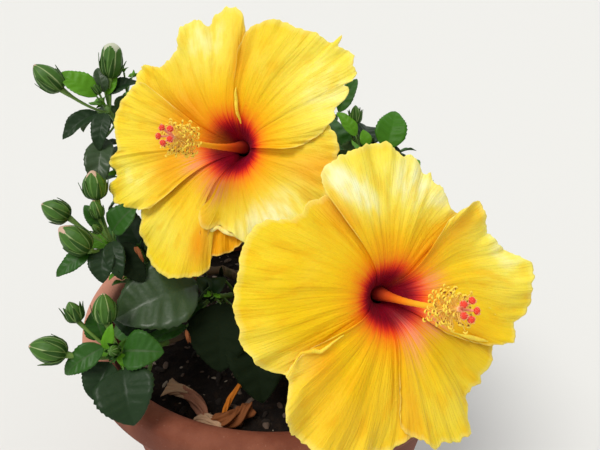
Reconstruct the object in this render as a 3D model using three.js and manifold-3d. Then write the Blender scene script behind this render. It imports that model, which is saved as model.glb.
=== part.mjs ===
// Potted hibiscus shrub: a plant pot with soil, a short forked trunk, boughs, leafy shoots with buds,
// and two large open blooms. Millimetres, +Z up. The origin is the centre of the pot's flat underside.
// Seen from the front, the view runs along +Y and +X is to the right.
import * as THREE from "three";
import Module from "manifold-3d";

const wasm = await Module();
wasm.setup();

// Pot and soil
const POT_HEIGHT = 230;
const RIM_RADIUS = 140;
const LIP_HEIGHT = 27;
const LIP_DEPTH = 13;
const FOOT_RADIUS = 96;
const WALL = 8;
const FLOOR_THICKNESS = 9;
const DRAIN_COUNT = 4;
const DRAIN_RADIUS = 7;
const DRAIN_CIRCLE = 58;
const POT_SIDES = 40;
const SOIL_DROP = 27;
const SOIL_ROUGHNESS = 3;
const SOIL_FLAT_RADIUS = 30;
const SEAT = 0.3;

// Trunk and boughs
const TRUNK_FOOT = [-5, 14];
const TRUNK_TOP = [-3, 10, 262];
const TRUNK_FOOT_RADIUS = 11.5;
const TRUNK_TOP_RADIUS = 7.5;
const ROOT_FLARE = 8;
const FLARE_HEIGHT = 16;
const TRUNK_LEAN = [-7, 0, 0];
const ROOT_LOBES = 0.16;
const TRUNK_SIDES = 10;
const TRUNK_STEPS = 6;
const BOUGH_SIDES = 6;
const BOUGH_STEPS = 4;

// Leaves and twigs
const GOLDEN = 2.39996;
const STEM_RADII = [2.8, 1.5];
const TWIG_SHARE = 0.6;
const TWIG_TIP_RADIUS = 1.0;
const PETIOLE_RADIUS = 0.8;
const PETIOLE_ROOT_RADIUS = 0.35;
const LEAF_LENGTHS = [52, 30];
const LEAF_THICKNESS = 0.03;
const LEAF_FOLD = 0.34;
const LEAF_ARCH = 0.1;
const SPACE_MARGIN = 0.05;
const LIMB_CLEARANCE = 3;
const LEAF_SPACING = 0.56;
const LEAF_RATIO = 0.7;
const LEAF_ATTEMPTS = 4;
const BLADE_STATIONS = [
  [0.3, 0.5],
  [0.68, 0.4],
];
const STALK_RADII = [0.5, 1.2];
const BUD_SIDES = 5;
const BUD_PROFILE = [
  [0, 0.4],
  [0.2, 0.92],
  [0.52, 1],
  [0.82, 0.6],
  [1, 0.1],
];
const UP = [0, 0, 1];

// Blooms
const THROAT_DEPTH = 20;
const THROAT_SPREAD = 11;
const THROAT_RADIUS = 4;
const PETAL_THICKNESS = 1.2;
const PETAL_LIFT = 3.2;
const CLAW_WIDTH = 0.68;
const PETAL_RAYS = 6;
const PETAL_RINGS = 4;
const COLUMN_LENGTH = 60;
const COLUMN_SAG = 1.5;
const COLUMN_RADII = [2.7, 1.5];
const STAMEN_COUNT = 12;
const STAMEN_LENGTH = 9;
const THREAD_RADIUS = 0.5;
const ANTHER_RADIUS = 1.3;
const STIGMA_LENGTH = 6.5;
const STIGMA_RADIUS = 1.6;
const CALYX_LENGTH = 26;
const CALYX_RADIUS = 8;
const PEDICEL_RADII = [1.9, 2.4];
const BLOOM_SPACE = 92;

// Small vector helpers on plain [x, y, z] lists
const add = (a, b) => [a[0] + b[0], a[1] + b[1], a[2] + b[2]];
const sub = (a, b) => [a[0] - b[0], a[1] - b[1], a[2] - b[2]];
const mul = (a, k) => [a[0] * k, a[1] * k, a[2] * k];
const dot = (a, b) => a[0] * b[0] + a[1] * b[1] + a[2] * b[2];
const cross = (a, b) => [
  a[1] * b[2] - a[2] * b[1],
  a[2] * b[0] - a[0] * b[2],
  a[0] * b[1] - a[1] * b[0],
];
const size = (a) => Math.sqrt(dot(a, a));
const unit = (a) => mul(a, 1 / (size(a) || 1));
const mix = (a, b, t) => add(mul(a, 1 - t), mul(b, t));

// A seeded stream of numbers between 0 and 1.
function seeded(seed) {
  let state = seed | 0;
  return () => {
    state = (state + 0x6d2b79f5) | 0;
    let t = Math.imul(state ^ (state >>> 15), 1 | state);
    t = (t + Math.imul(t ^ (t >>> 7), 61 | t)) ^ t;
    return ((t ^ (t >>> 14)) >>> 0) / 4294967296;
  };
}

// Two unit vectors square to an axis and to each other.
function sideAxes(axis) {
  const helper = Math.abs(axis[2]) < 0.9 ? UP : [1, 0, 0];
  const first = unit(cross(axis, helper));
  return [first, cross(axis, first)];
}

// A point on the curve from start to end that bulges by bow at its middle.
function along(limb, t) {
  return add(mix(limb.start, limb.end, t), mul(limb.bow, 4 * t * (1 - t)));
}

function directionAt(limb, t) {
  return unit(sub(along(limb, Math.min(1, t + 0.02)), along(limb, Math.max(0, t - 0.02))));
}

function radiusAt(limb, t) {
  return limb.radii[0] + (limb.radii[1] - limb.radii[0]) * t;
}

// Closed solids from corner lists. Corners are shared, and faces turn outwards.
function solidFrom(corners, faces) {
  const solid = new wasm.Manifold(
    new wasm.Mesh({
      numProp: 3,
      vertProperties: new Float32Array(corners.flat()),
      triVerts: new Uint32Array(faces.flat()),
    }),
  );
  if (solid.volume() >= 0) return solid;
  return solidFrom(corners, faces.map(([a, b, c]) => [a, c, b]));
}

const quad = (a, b, c, d) => [[a, b, c], [a, c, d]];

// The corners of a circle about a centre, in the plane of two unit vectors.
function circle(centre, [first, second], radius, sides) {
  return Array.from({ length: sides }, (_, j) => {
    const turn = (2 * Math.PI * j) / sides;
    const offset = add(mul(first, radius * Math.cos(turn)), mul(second, radius * Math.sin(turn)));
    return add(centre, offset);
  });
}

// A tube through rings of corners, closed by a fan at each end.
function tubeSolid(rings) {
  const sides = rings[0].length;
  const faces = [];
  for (let i = 0; i < rings.length - 1; i++)
    for (let j = 0; j < sides; j++) {
      const a = i * sides + j;
      const b = i * sides + ((j + 1) % sides);
      faces.push([a, b, b + sides], [a, b + sides, a + sides]);
    }
  const last = (rings.length - 1) * sides;
  for (let j = 1; j < sides - 1; j++) {
    faces.push([0, j + 1, j]);
    faces.push([last, last + j, last + j + 1]);
  }
  return solidFrom(rings.flat(), faces);
}

// A tapering round limb along its curve.
function limbSolid(limb, sides, steps, grow = 0) {
  const reference = sideAxes(unit(sub(limb.end, limb.start)))[0];
  const rings = [];
  for (let i = 0; i <= steps; i++) {
    const t = i / steps;
    const axis = directionAt(limb, t);
    const second = unit(cross(axis, reference));
    const radius = radiusAt(limb, t) + grow;
    rings.push(circle(along(limb, t), [cross(second, axis), second], radius, sides));
  }
  return tubeSolid(rings);
}

// A body of revolution about an axis, from [centre, radius] pairs along it.
function turnedSolid(rings, axis, sides) {
  const plane = sideAxes(axis);
  return tubeSolid(rings.map(([centre, radius]) => circle(centre, plane, radius, sides)));
}

// Joins solids into one closed body: scraps are dropped and sealed hollows filled.
function fused(solids) {
  const parts = wasm.Manifold.union(solids).decompose();
  return parts.reduce((best, part) => (part.volume() > best.volume() ? part : best));
}

function meshOf(name, solid, look) {
  const { vertProperties, triVerts } = solid.getMesh();
  const geometry = new THREE.BufferGeometry();
  geometry.setAttribute("position", new THREE.BufferAttribute(vertProperties, 3));
  geometry.setIndex(new THREE.BufferAttribute(triVerts, 1));
  geometry.computeVertexNormals();
  const mesh = new THREE.Mesh(geometry, new THREE.MeshStandardMaterial(look));
  mesh.name = name;
  return mesh;
}

// The pot: a tapered wall with a thick rounded lip, a flat foot and drain holes.
const LOOKS = {
  pot: { color: 0xb9694c, roughness: 0.75, metalness: 0 },
  soil: { color: 0x2a1c14, roughness: 1, metalness: 0 },
  bark: { color: 0x7a6248, roughness: 0.9, metalness: 0 },
  leaf: { color: 0x2f5a22, roughness: 0.35, metalness: 0 },
  petal: { color: 0xf4cf2a, roughness: 0.5, metalness: 0 },
};

const bodyTop = RIM_RADIUS - LIP_DEPTH;

function potSolid() {
  const lipRound = LIP_DEPTH / 2;
  const underLip = POT_HEIGHT - LIP_HEIGHT;
  const innerTop = RIM_RADIUS - LIP_DEPTH - 3;
  const profile = [
    [0, 0],
    [0, FOOT_RADIUS - 3],
    [3, FOOT_RADIUS],
    [underLip, bodyTop],
    [underLip + 1, RIM_RADIUS - 4],
    [underLip + 6, RIM_RADIUS],
    [POT_HEIGHT - lipRound, RIM_RADIUS],
    [POT_HEIGHT - 2, RIM_RADIUS - 2.5],
    [POT_HEIGHT, RIM_RADIUS - lipRound],
    [POT_HEIGHT - 2, innerTop + 2.5],
    [POT_HEIGHT - lipRound, innerTop],
    [underLip, bodyTop - WALL],
    [FLOOR_THICKNESS, FOOT_RADIUS - WALL],
    [FLOOR_THICKNESS, 0],
  ];
  let pot = latheSolid(profile, POT_SIDES);
  for (let i = 0; i < DRAIN_COUNT; i++) {
    const turn = (2 * Math.PI * (i + 0.5)) / DRAIN_COUNT;
    const place = [DRAIN_CIRCLE * Math.cos(turn), DRAIN_CIRCLE * Math.sin(turn)];
    const drill = [
      [[...place, -1], DRAIN_RADIUS],
      [[...place, FLOOR_THICKNESS + 1], DRAIN_RADIUS],
    ];
    pot = pot.subtract(turnedSolid(drill, UP, 10));
  }
  return pot;
}

// A profile of [height, radius] pairs, turned about Z. It starts and ends on the axis.
function latheSolid(profile, sides) {
  const corners = [];
  const rings = [];
  for (const [height, radius] of profile) {
    const centre = [0, 0, height];
    const ring = radius === 0 ? [centre] : circle(centre, [[1, 0, 0], [0, 1, 0]], radius, sides);
    rings.push(ring.map((_, j) => corners.length + j));
    corners.push(...ring);
  }
  const faces = [];
  for (let i = 0; i < rings.length - 1; i++)
    for (let j = 0; j < sides; j++) {
      const k = (j + 1) % sides;
      const [low, high] = [rings[i], rings[i + 1]];
      if (low.length > 1) faces.push([low[j], low[k], high[high.length > 1 ? k : 0]]);
      if (high.length > 1) faces.push([low[low.length > 1 ? j : 0], high[k], high[j]]);
    }
  return solidFrom(corners, faces);
}

// The soil fills the pot to below the rim. Its top is uneven, and flat where the trunk stands.
const soilTop = POT_HEIGHT - SOIL_DROP;

function soilSolid() {
  const random = seeded(11);
  const wallSlope = (bodyTop - FOOT_RADIUS) / (POT_HEIGHT - LIP_HEIGHT - 3);
  const topRadius = FOOT_RADIUS - WALL + wallSlope * (soilTop - FLOOR_THICKNESS) - SEAT * 2;
  const footRadius = FOOT_RADIUS - WALL - SEAT * 2;
  const rings = [SOIL_FLAT_RADIUS, 58, 86, topRadius];
  const sides = 22;
  const corners = [[0, 0, FLOOR_THICKNESS + SEAT]];
  for (let j = 0; j < sides; j++) {
    const turn = (2 * Math.PI * j) / sides;
    const place = [footRadius * Math.cos(turn), footRadius * Math.sin(turn)];
    corners.push([...place, FLOOR_THICKNESS + SEAT]);
  }
  for (let i = rings.length - 1; i >= 0; i--)
    for (let j = 0; j < sides; j++) {
      const turn = (2 * Math.PI * j) / sides;
      const centre = i === 0 ? TRUNK_FOOT : [0, 0];
      const bump = i === 0 ? 0 : SOIL_ROUGHNESS * (2 * random() - 1);
      const drop = i === rings.length - 1 ? -SOIL_ROUGHNESS : 0;
      const x = centre[0] + rings[i] * Math.cos(turn);
      const y = centre[1] + rings[i] * Math.sin(turn);
      corners.push([x, y, soilTop + bump + drop]);
    }
  corners.push([TRUNK_FOOT[0], TRUNK_FOOT[1], soilTop]);
  const faces = [];
  for (let j = 0; j < sides; j++) {
    const k = (j + 1) % sides;
    faces.push([0, 1 + k, 1 + j]);
    for (let i = 0; i < rings.length; i++) {
      const low = 1 + i * sides;
      const high = low + sides;
      faces.push([low + j, low + k, high + k], [low + j, high + k, high + j]);
    }
    const top = 1 + rings.length * sides;
    faces.push([top + j, top + k, corners.length - 1]);
  }
  return solidFrom(corners, faces);
}

// The trunk: it leans, tapers and flares to its flat cut on the soil.
const trunkFoot = [TRUNK_FOOT[0], TRUNK_FOOT[1], soilTop + SEAT];
const trunk = {
  start: trunkFoot,
  end: TRUNK_TOP,
  bow: TRUNK_LEAN,
  radii: [TRUNK_FOOT_RADIUS, TRUNK_TOP_RADIUS],
};

function trunkSolid(grow = 0) {
  const rings = [];
  for (let i = 0; i <= TRUNK_STEPS; i++) {
    const t = (i / TRUNK_STEPS) ** 1.4;
    const centre = along(trunk, t);
    const flare = Math.max(0, 1 - (centre[2] - trunkFoot[2]) / FLARE_HEIGHT) ** 2;
    const radius = radiusAt(trunk, t) + ROOT_FLARE * flare;
    const ring = [];
    for (let j = 0; j < TRUNK_SIDES; j++) {
      const turn = (2 * Math.PI * j) / TRUNK_SIDES;
      const lobe = 1 + ROOT_LOBES * flare * Math.cos(5 * turn + 0.6);
      const reach = radius * lobe + grow;
      ring.push(add(centre, [reach * Math.cos(turn), reach * Math.sin(turn), 0]));
    }
    rings.push(ring);
  }
  return tubeSolid(rings);
}

// Boughs leave the trunk at a share of its height and end where a shoot or a bloom's twig goes on.
const BOUGHS = {
  upper_left: { from: 0.95, tip: [-40, 20, 284], bow: [-3, 2, -8], radii: [5.0, 3.0] },
  mid_left: { from: 0.66, tip: [-40, -10, 256], bow: [-2, -1, -5], radii: [4.6, 2.9] },
  lower_left: { from: 0.36, tip: [-36, -34, 235], bow: [0, -1, -3], radii: [4.4, 2.8] },
  front_centre: { from: 0.5, tip: [-16, -14, 243], bow: [0, 0, -2], radii: [4.2, 2.8] },
  upper_right: { from: 0.88, tip: [24, 18, 288], bow: [2, 2, -6], radii: [4.6, 2.9] },
  right: { from: 0.6, tip: [36, 4, 247], bow: [1, 0, -4], radii: [4.5, 2.8] },
  front_right: { from: 0.42, tip: [22, -20, 236], bow: [1, -1, -3], radii: [4.2, 2.8] },
  back_left: { from: 0.78, tip: [-26, 36, 260], bow: [-1, 2, -5], radii: [4.8, 2.9] },
  back: { from: 0.85, tip: [4, 42, 268], bow: [0, 2, -5], radii: [4.8, 2.9] },
  back_right: { from: 0.54, tip: [30, 34, 252], bow: [1, 1, -4], radii: [4.5, 2.8] },
  top: { from: 0.99, tip: [-7, 26, 294], bow: [0, 4, 0], radii: [4.6, 2.9] },
  bloom_front: { from: 0.8, tip: [20, -34, 268], bow: [2, -2, -8], radii: [4.2, 3.0] },
  bloom_back: { from: 0.97, tip: [-2, 2, 308], bow: [3, -4, 0], radii: [4.0, 2.9] },
};

const limbs = { trunk };
for (const [name, bough] of Object.entries(BOUGHS))
  limbs[name] = {
    start: along(trunk, bough.from),
    end: bough.tip,
    bow: bough.bow,
    radii: bough.radii,
  };

// The blooms. Each petal is an outline of [angle in degrees, radius] seen from the front of the bloom,
// counter-clockwise from the viewer's right, and says which of its edges lies over its neighbour.
const BLOOMS = {
  bloom_front: {
    throat: [54, -105, 302],
    axis: [0.301, -0.826, 0.477],
    column: [0.415, -0.786, 0.458],
    petals: [
      {
        lift: [-1, 1],
        edge: [
          [24, 56], [40, 58], [55, 59], [68, 63], [76, 70],
          [88, 76], [98, 73], [107, 71], [116, 66],
        ],
      },
      {
        lift: [1, 1],
        edge: [
          [-42, 40], [-36, 58], [-27, 70], [-12, 77], [2, 80],
          [14, 64], [27, 63], [37, 66], [45, 50],
        ],
      },
      {
        lift: [1, -1],
        edge: [
          [-98, 48], [-92, 65], [-84, 72], [-74, 75], [-64, 70],
          [-52, 62], [-40, 64], [-26, 64], [-16, 56],
        ],
      },
      {
        lift: [1, -1],
        edge: [
          [-165, 48], [-158, 65], [-146, 73], [-135, 78], [-121, 77],
          [-108, 74], [-98, 68], [-88, 66], [-80, 60],
        ],
      },
      {
        lift: [-1, -1],
        edge: [
          [100, 48], [114, 56], [124, 61], [134, 63], [148, 76],
          [164, 78], [180, 75], [193, 70], [206, 56],
        ],
      },
    ],
  },
  bloom_back: {
    throat: [-17, -38, 355],
    axis: [-0.34, -0.856, 0.391],
    column: [-0.463, -0.794, 0.395],
    petals: [
      {
        lift: [-1, -1],
        edge: [
          [72, 58], [84, 64], [95, 74], [105, 71], [115, 73],
          [127, 65], [136, 62], [148, 72], [162, 60],
        ],
      },
      {
        lift: [1, 1],
        edge: [
          [4, 34], [12, 48], [21, 63], [33, 75], [47, 78],
          [60, 73], [73, 70], [83, 66], [88, 56],
        ],
      },
      {
        lift: [-1, -1],
        edge: [
          [-88, 44], [-72, 54], [-55, 62], [-38, 66], [-22, 64],
          [-7, 60], [6, 62], [16, 59], [26, 46],
        ],
      },
      {
        lift: [-1, 1],
        edge: [
          [-160, 56], [-148, 62], [-138, 70], [-127, 77], [-114, 81],
          [-102, 78], [-92, 66], [-80, 58], [-70, 46],
        ],
      },
      {
        lift: [1, 1],
        edge: [
          [152, 62], [162, 72], [174, 76], [184, 73], [190, 77],
          [198, 79], [206, 80], [214, 72], [222, 60],
        ],
      },
    ],
  },
};

// The bloom's own axes: out of the flower, up, and to the right of someone who faces it.
function bloomAxes(bloom) {
  const out = unit(bloom.axis);
  const up = unit(sub(UP, mul(out, dot(UP, out))));
  return { out, up, right: cross(up, out) };
}

function throatHeight(radius) {
  return THROAT_DEPTH * Math.tanh(Math.max(radius - THROAT_RADIUS, 0) / THROAT_SPREAD);
}

// A smooth outline through the petal's edge points; share runs from 0 to 1 across the petal.
function petalEdge(edge, share) {
  const place = share * (edge.length - 1);
  const i = Math.min(edge.length - 2, Math.floor(place));
  const f = place - i;
  const [before, from, to, after] = [i - 1, i, i + 1, i + 2].map(
    (k) => edge[Math.max(0, Math.min(edge.length - 1, k))],
  );
  const blend = (k) =>
    from[k] +
    0.5 * f * (to[k] - before[k] +
      f * (2 * before[k] - 5 * from[k] + 4 * to[k] - after[k] +
        f * (3 * (from[k] - to[k]) + after[k] - before[k])));
  return [(blend(0) * Math.PI) / 180, blend(1)];
}

function petalSolid(bloom, petal, index) {
  const axes = bloomAxes(bloom);
  const corners = [];
  const faces = [];
  const columns = PETAL_RAYS;
  const middle = petalEdge(petal.edge, 0.5)[0];
  const rows = PETAL_RINGS;
  for (const side of [1, -1])
    for (let i = 0; i <= rows; i++)
      for (let j = 0; j <= columns; j++) {
        const share = j / columns;
        const [edgeAngle, reach] = petalEdge(petal.edge, share);
        const across = 2 * share - 1;
        const outward = (i / rows) ** 0.8;
        const claw = CLAW_WIDTH + (1 - CLAW_WIDTH) * Math.min(1, outward * 1.5);
        const angle = middle + (edgeAngle - middle) * claw;
        const radius = THROAT_RADIUS + (reach - THROAT_RADIUS) * outward;
        const lift = across < 0 ? petal.lift[0] : petal.lift[1];
        const raise = PETAL_LIFT * lift * across * across * Math.min(1, outward * 1.6);
        const ruffle = 1.6 * outward ** 3 * Math.sin(across * 9 + index * 2);
        const height = throatHeight(radius) + raise + ruffle + (side * PETAL_THICKNESS) / 2;
        const spin = mul(axes.right, radius * Math.cos(angle));
        const rise = mul(axes.up, radius * Math.sin(angle));
        corners.push(add(add(bloom.throat, mul(axes.out, height)), add(spin, rise)));
      }
  const stride = columns + 1;
  const layer = stride * (rows + 1);
  for (let i = 0; i < rows; i++)
    for (let j = 0; j < columns; j++) {
      const a = i * stride + j;
      const b = layer + a;
      faces.push(...quad(a, a + stride, a + stride + 1, a + 1));
      faces.push(...quad(b, b + 1, b + stride + 1, b + stride));
    }
  for (let j = 0; j < columns; j++) {
    const outer = rows * stride + j;
    faces.push(...quad(j, j + 1, layer + j + 1, layer + j));
    faces.push(...quad(outer, layer + outer, layer + outer + 1, outer + 1));
  }
  for (let i = 0; i < rows; i++) {
    const left = i * stride;
    const right = left + columns;
    faces.push(...quad(left, layer + left, layer + left + stride, left + stride));
    faces.push(...quad(right, right + stride, layer + right + stride, layer + right));
  }
  return solidFrom(corners, faces);
}

// The stigma column with its stamens, out of the throat.
function columnSolids(bloom) {
  const random = seeded(31);
  const axis = unit(bloom.column);
  const tip = add(bloom.throat, mul(axis, COLUMN_LENGTH));
  const column = { start: bloom.throat, end: tip, bow: [0, 0, -COLUMN_SAG], radii: COLUMN_RADII };
  const solids = [limbSolid(column, 6, 3)];
  const [first, second] = sideAxes(axis);
  for (let i = 0; i < STAMEN_COUNT; i++) {
    const t = 0.6 + (0.32 * i) / STAMEN_COUNT;
    const turn = i * GOLDEN;
    const side = add(mul(first, Math.cos(turn)), mul(second, Math.sin(turn)));
    const reach = STAMEN_LENGTH * (0.7 + 0.3 * random());
    const heading = unit(add(side, mul(axis, 0.35)));
    solids.push(knobSolid(along(column, t), heading, reach, ANTHER_RADIUS, 3));
  }
  for (let i = 0; i < 5; i++) {
    const turn = (2 * Math.PI * i) / 5;
    const side = add(mul(first, Math.cos(turn)), mul(second, Math.sin(turn)));
    const root = sub(tip, mul(axis, 1));
    const heading = unit(add(side, mul(axis, 1.1)));
    solids.push(knobSolid(root, heading, STIGMA_LENGTH, STIGMA_RADIUS, 4));
  }
  return solids;
}

// A thin thread with a small round head.
function knobSolid(root, heading, reach, radius, sides) {
  const at = (distance) => add(root, mul(heading, distance));
  const rings = [
    [root, THREAD_RADIUS],
    [at(reach - 2 * radius), THREAD_RADIUS],
    [at(reach - radius), radius],
    [at(reach), radius * 0.4],
  ];
  return turnedSolid(rings, heading, sides);
}

// A bloom on its own twig: petals, column, calyx and pedicel in one solid.
function pedicelOf(name) {
  const bloom = BLOOMS[name];
  const bough = limbs[name];
  const back = mul(unit(bloom.axis), -CALYX_LENGTH);
  return {
    start: sub(bough.end, directionAt(bough, 1)),
    end: add(bloom.throat, back),
    bow: mul(directionAt(bough, 1), 6),
    radii: PEDICEL_RADII,
  };
}

function bloomSolid(name) {
  const bloom = BLOOMS[name];
  const axis = unit(bloom.axis);
  const calyx = [
    [-CALYX_LENGTH - 2, 2],
    [-CALYX_LENGTH + 2, CALYX_RADIUS * 0.7],
    [-CALYX_LENGTH + 9, CALYX_RADIUS],
    [-6, CALYX_RADIUS * 0.8],
    [2, THROAT_RADIUS + 2.2],
  ].map(([height, radius]) => [add(bloom.throat, mul(axis, height)), radius]);
  const petals = bloom.petals.map((petal, index) => petalSolid(bloom, petal, index));
  const parts = [
    ...petals,
    ...columnSolids(bloom),
    turnedSolid(calyx, axis, 6),
    limbSolid(pedicelOf(name), 5, 4),
  ];
  return fused([fused(parts).subtract(boughCutter(name))]);
}

// Leafy shoots. Each keeps to its own space: an ellipsoid, and in it only what lies nearer to its own
// centre than to any other's, measured in radii. Leaves are [base, tip, width] and buds [base, tip, radius].
const SHOOTS = {
  upper_left: {
    tip: [-109, 9, 367],
    bow: [-6, 2, -6],
    centre: [-96, 20, 340],
    radii: [62, 54, 66],
    seed: 3,
    twigs: 3,
    leaves: [
      [[-112, 6, 374], [-139, 0, 390], 17],
      [[-109, 12, 375], [-114, 20, 389], 9],
      [[-108, 13, 373], [-103, 24, 388], 9],
      [[-110, 15, 373], [-90, 22, 380], 10],
      [[-113, 6, 364], [-135, -10, 352], 17],
      [[-107, 2, 365], [-111, -19, 345], 17],
      [[-109, -2, 350], [-113, -29, 324], 22],
    ],
    buds: [
      [[-132, 3, 379], [-145, 2, 394], 8],
      [[-106, 17, 383], [-103, 25, 403], 7.5],
      [[-111, 8, 375], [-114, 8, 382], 3],
    ],
  },
  mid_left: {
    tip: [-98, -52, 301],
    bow: [-5, -3, -6],
    centre: [-90, -44, 296],
    radii: [50, 46, 48],
    seed: 5,
    twigs: 2,
    leaves: [
      [[-96, -50, 308], [-80, -46, 324], 17],
      [[-106, -59, 301], [-128, -72, 290], 16],
      [[-100, -57, 301], [-100, -79, 286], 18],
      [[-102, -49, 310], [-112, -44, 323], 9],
      [[-95, -55, 305], [-88, -71, 289], 14],
      [[-95, -51, 300], [-76, -66, 283], 18],
    ],
    buds: [
      [[-105, -41, 325], [-107, -35, 341], 7.5],
      [[-120, -49, 317], [-134, -49, 326], 7.5],
      [[-106, -63, 303], [-121, -61, 317], 8.5],
      [[-103, -48, 316], [-105, -46, 327], 4.5],
      [[-101, -55, 311], [-103, -58, 317], 3],
    ],
  },
  lower_left: {
    tip: [-86, -98, 256],
    bow: [-3, -3, -3],
    centre: [-82, -84, 254],
    radii: [54, 52, 42],
    seed: 7,
    twigs: 2,
    leaves: [
      [[-92, -100, 264], [-115, -116, 256], 22],
      [[-90, -101, 262], [-87, -94, 282], 10],
      [[-82, -101, 262], [-59, -103, 263], 21],
      [[-80, -108, 255], [-71, -131, 238], 31],
      [[-90, -101, 254], [-97, -116, 241], 20],
      [[-95, -92, 262], [-101, -84, 277], 15],
    ],
    buds: [
      [[-92, -91, 273], [-93, -85, 289], 7],
      [[-107, -92, 275], [-111, -89, 286], 5.5],
      [[-111, -105, 263], [-129, -106, 270], 8],
      [[-84, -103, 264], [-85, -109, 269], 4],
    ],
  },
  front_centre: {
    tip: [-40, -56, 266],
    bow: [-2, 0, -3],
    centre: [-34, -56, 254],
    radii: [48, 44, 44],
    seed: 9,
    twigs: 2,
    leaves: [
      [[-48, -58, 275], [-83, -73, 263], 32],
      [[-49, -58, 261], [-70, -70, 255], 17],
      [[-38, -56, 260], [-47, -90, 230], 36],
      [[-14, -60, 250], [-7, -100, 222], 36],
      [[-39, -58, 271], [-49, -55, 283], 12],
      [[-39, -58, 271], [-28, -56, 282], 12],
      [[-40, -61, 270], [-48, -70, 268], 12],
      [[-37, -61, 270], [-27, -69, 268], 12],
    ],
    buds: [],
  },
  upper_right: {
    tip: [56, 4, 340],
    bow: [4, -2, -2],
    centre: [58, 16, 334],
    radii: [50, 44, 52],
    seed: 13,
    twigs: 3,
    leaves: [
      [[47, 12, 360], [51, 21, 382], 11],
      [[53, 6, 347], [37, 8, 365], 15],
      [[57, 4, 343], [63, 9, 355], 11],
      [[64, 6, 341], [82, 22, 363], 27],
      [[66, 9, 337], [90, 6, 334], 17],
    ],
    buds: [[[51, 10, 355], [51, 15, 366], 4.5]],
  },
  right: {
    tip: [118, -4, 280],
    bow: [4, 0, -6],
    centre: [98, 0, 266],
    radii: [58, 50, 52],
    seed: 17,
    twigs: 4,
    leaves: [],
    buds: [[[128, -8, 296], [134, -12, 311], 7]],
  },
  front_right: {
    tip: [80, -66, 246],
    bow: [3, -3, -4],
    centre: [66, -58, 246],
    radii: [52, 44, 34],
    seed: 19,
    twigs: 3,
    leaves: [],
    buds: [],
  },
  back_left: {
    tip: [-78, 94, 322],
    bow: [-6, 6, -8],
    centre: [-64, 78, 302],
    radii: [62, 58, 62],
    seed: 23,
    twigs: 5,
    leaves: [],
    buds: [
      [[-88, 104, 340], [-94, 110, 356], 8],
      [[-100, 96, 326], [-112, 102, 338], 7],
    ],
  },
  back: {
    tip: [16, 112, 332],
    bow: [2, 8, -8],
    centre: [10, 98, 308],
    radii: [58, 58, 62],
    seed: 29,
    twigs: 5,
    leaves: [],
    buds: [
      [[14, 122, 352], [12, 130, 369], 8],
      [[32, 124, 338], [43, 134, 350], 6.5],
    ],
  },
  back_right: {
    tip: [94, 80, 296],
    bow: [6, 5, -7],
    centre: [82, 68, 280],
    radii: [58, 54, 54],
    seed: 37,
    twigs: 4,
    leaves: [],
    buds: [[[106, 88, 312], [115, 94, 328], 7.5]],
  },
  top: {
    tip: [-16, 48, 366],
    bow: [-2, 3, 0],
    centre: [-14, 44, 350],
    radii: [54, 44, 54],
    seed: 41,
    twigs: 4,
    leaves: [],
    buds: [[[-30, 66, 374], [-36, 74, 388], 6.5]],
  },
};

// How far a point lies from a limb's surface.
function distanceToLimb(point, limb) {
  let nearest = Infinity;
  for (let i = 0; i <= 12; i++) {
    const t = i / 12;
    nearest = Math.min(nearest, size(sub(point, along(limb, t))) - radiusAt(limb, t));
  }
  return nearest;
}

const inRadii = (point, shoot) => {
  const [x, y, z] = sub(point, shoot.centre);
  return Math.sqrt((x / shoot.radii[0]) ** 2 + (y / shoot.radii[1]) ** 2 + (z / shoot.radii[2]) ** 2);
};

// True where a bloom's petals, what is in front of them, or its calyx and twig would be touched.
function inBloom(point, name) {
  const bloom = BLOOMS[name];
  const axes = bloomAxes(bloom);
  const from = sub(point, bloom.throat);
  const height = dot(from, axes.out);
  const radius = size(sub(from, mul(axes.out, height)));
  const petals = radius < BLOOM_SPACE && height > throatHeight(radius) - 8 && height < BLOOM_SPACE;
  return petals || (radius < CALYX_RADIUS + 3 && height > -CALYX_LENGTH - 4 && height < 20);
}

const shootLimbs = Object.keys(BOUGHS).map((name) => limbs[name]);
const pedicels = Object.keys(BLOOMS).map(pedicelOf);

function isFree(point, name) {
  const shoot = SHOOTS[name];
  const own = inRadii(point, shoot);
  if (own > 1) return false;
  for (const [other, space] of Object.entries(SHOOTS))
    if (other !== name && inRadii(point, space) < own + SPACE_MARGIN) return false;
  for (const bloom of Object.keys(BLOOMS)) if (inBloom(point, bloom)) return false;
  for (const limb of [trunk, ...shootLimbs, ...pedicels])
    if (distanceToLimb(point, limb) < LIMB_CLEARANCE) return false;
  const [x, y, z] = point;
  const overPot = Math.hypot(x, y) < RIM_RADIUS + 4;
  const inMouth = Math.hypot(x, y) < RIM_RADIUS - LIP_DEPTH - 8;
  return z > (inMouth ? soilTop + SOIL_ROUGHNESS + 3 : overPot ? POT_HEIGHT + 2 : 120);
}

// What a shoot or a bloom's twig loses to its bough, so that they meet 0.3 mm clear.
function boughCutter(name) {
  const bough = limbs[name];
  const end = add(bough.end, mul(directionAt(bough, 1), SEAT));
  return limbSolid({ ...bough, end }, BOUGH_SIDES, BOUGH_STEPS, SEAT);
}

// The shoot's stem goes on from its bough's tip.
function stemOf(name) {
  const bough = limbs[name];
  const shoot = SHOOTS[name];
  return {
    start: sub(bough.end, directionAt(bough, 1)),
    end: shoot.tip,
    bow: shoot.bow,
    radii: STEM_RADII,
  };
}

// A leaf: base, tip, width and the direction that its upper face looks in.
function leafAt(base, tip, width, face) {
  const axis = unit(sub(tip, base));
  const normal = unit(sub(face, mul(axis, dot(face, axis))));
  return { base, tip, width, axis, normal, length: size(sub(tip, base)) };
}

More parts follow.
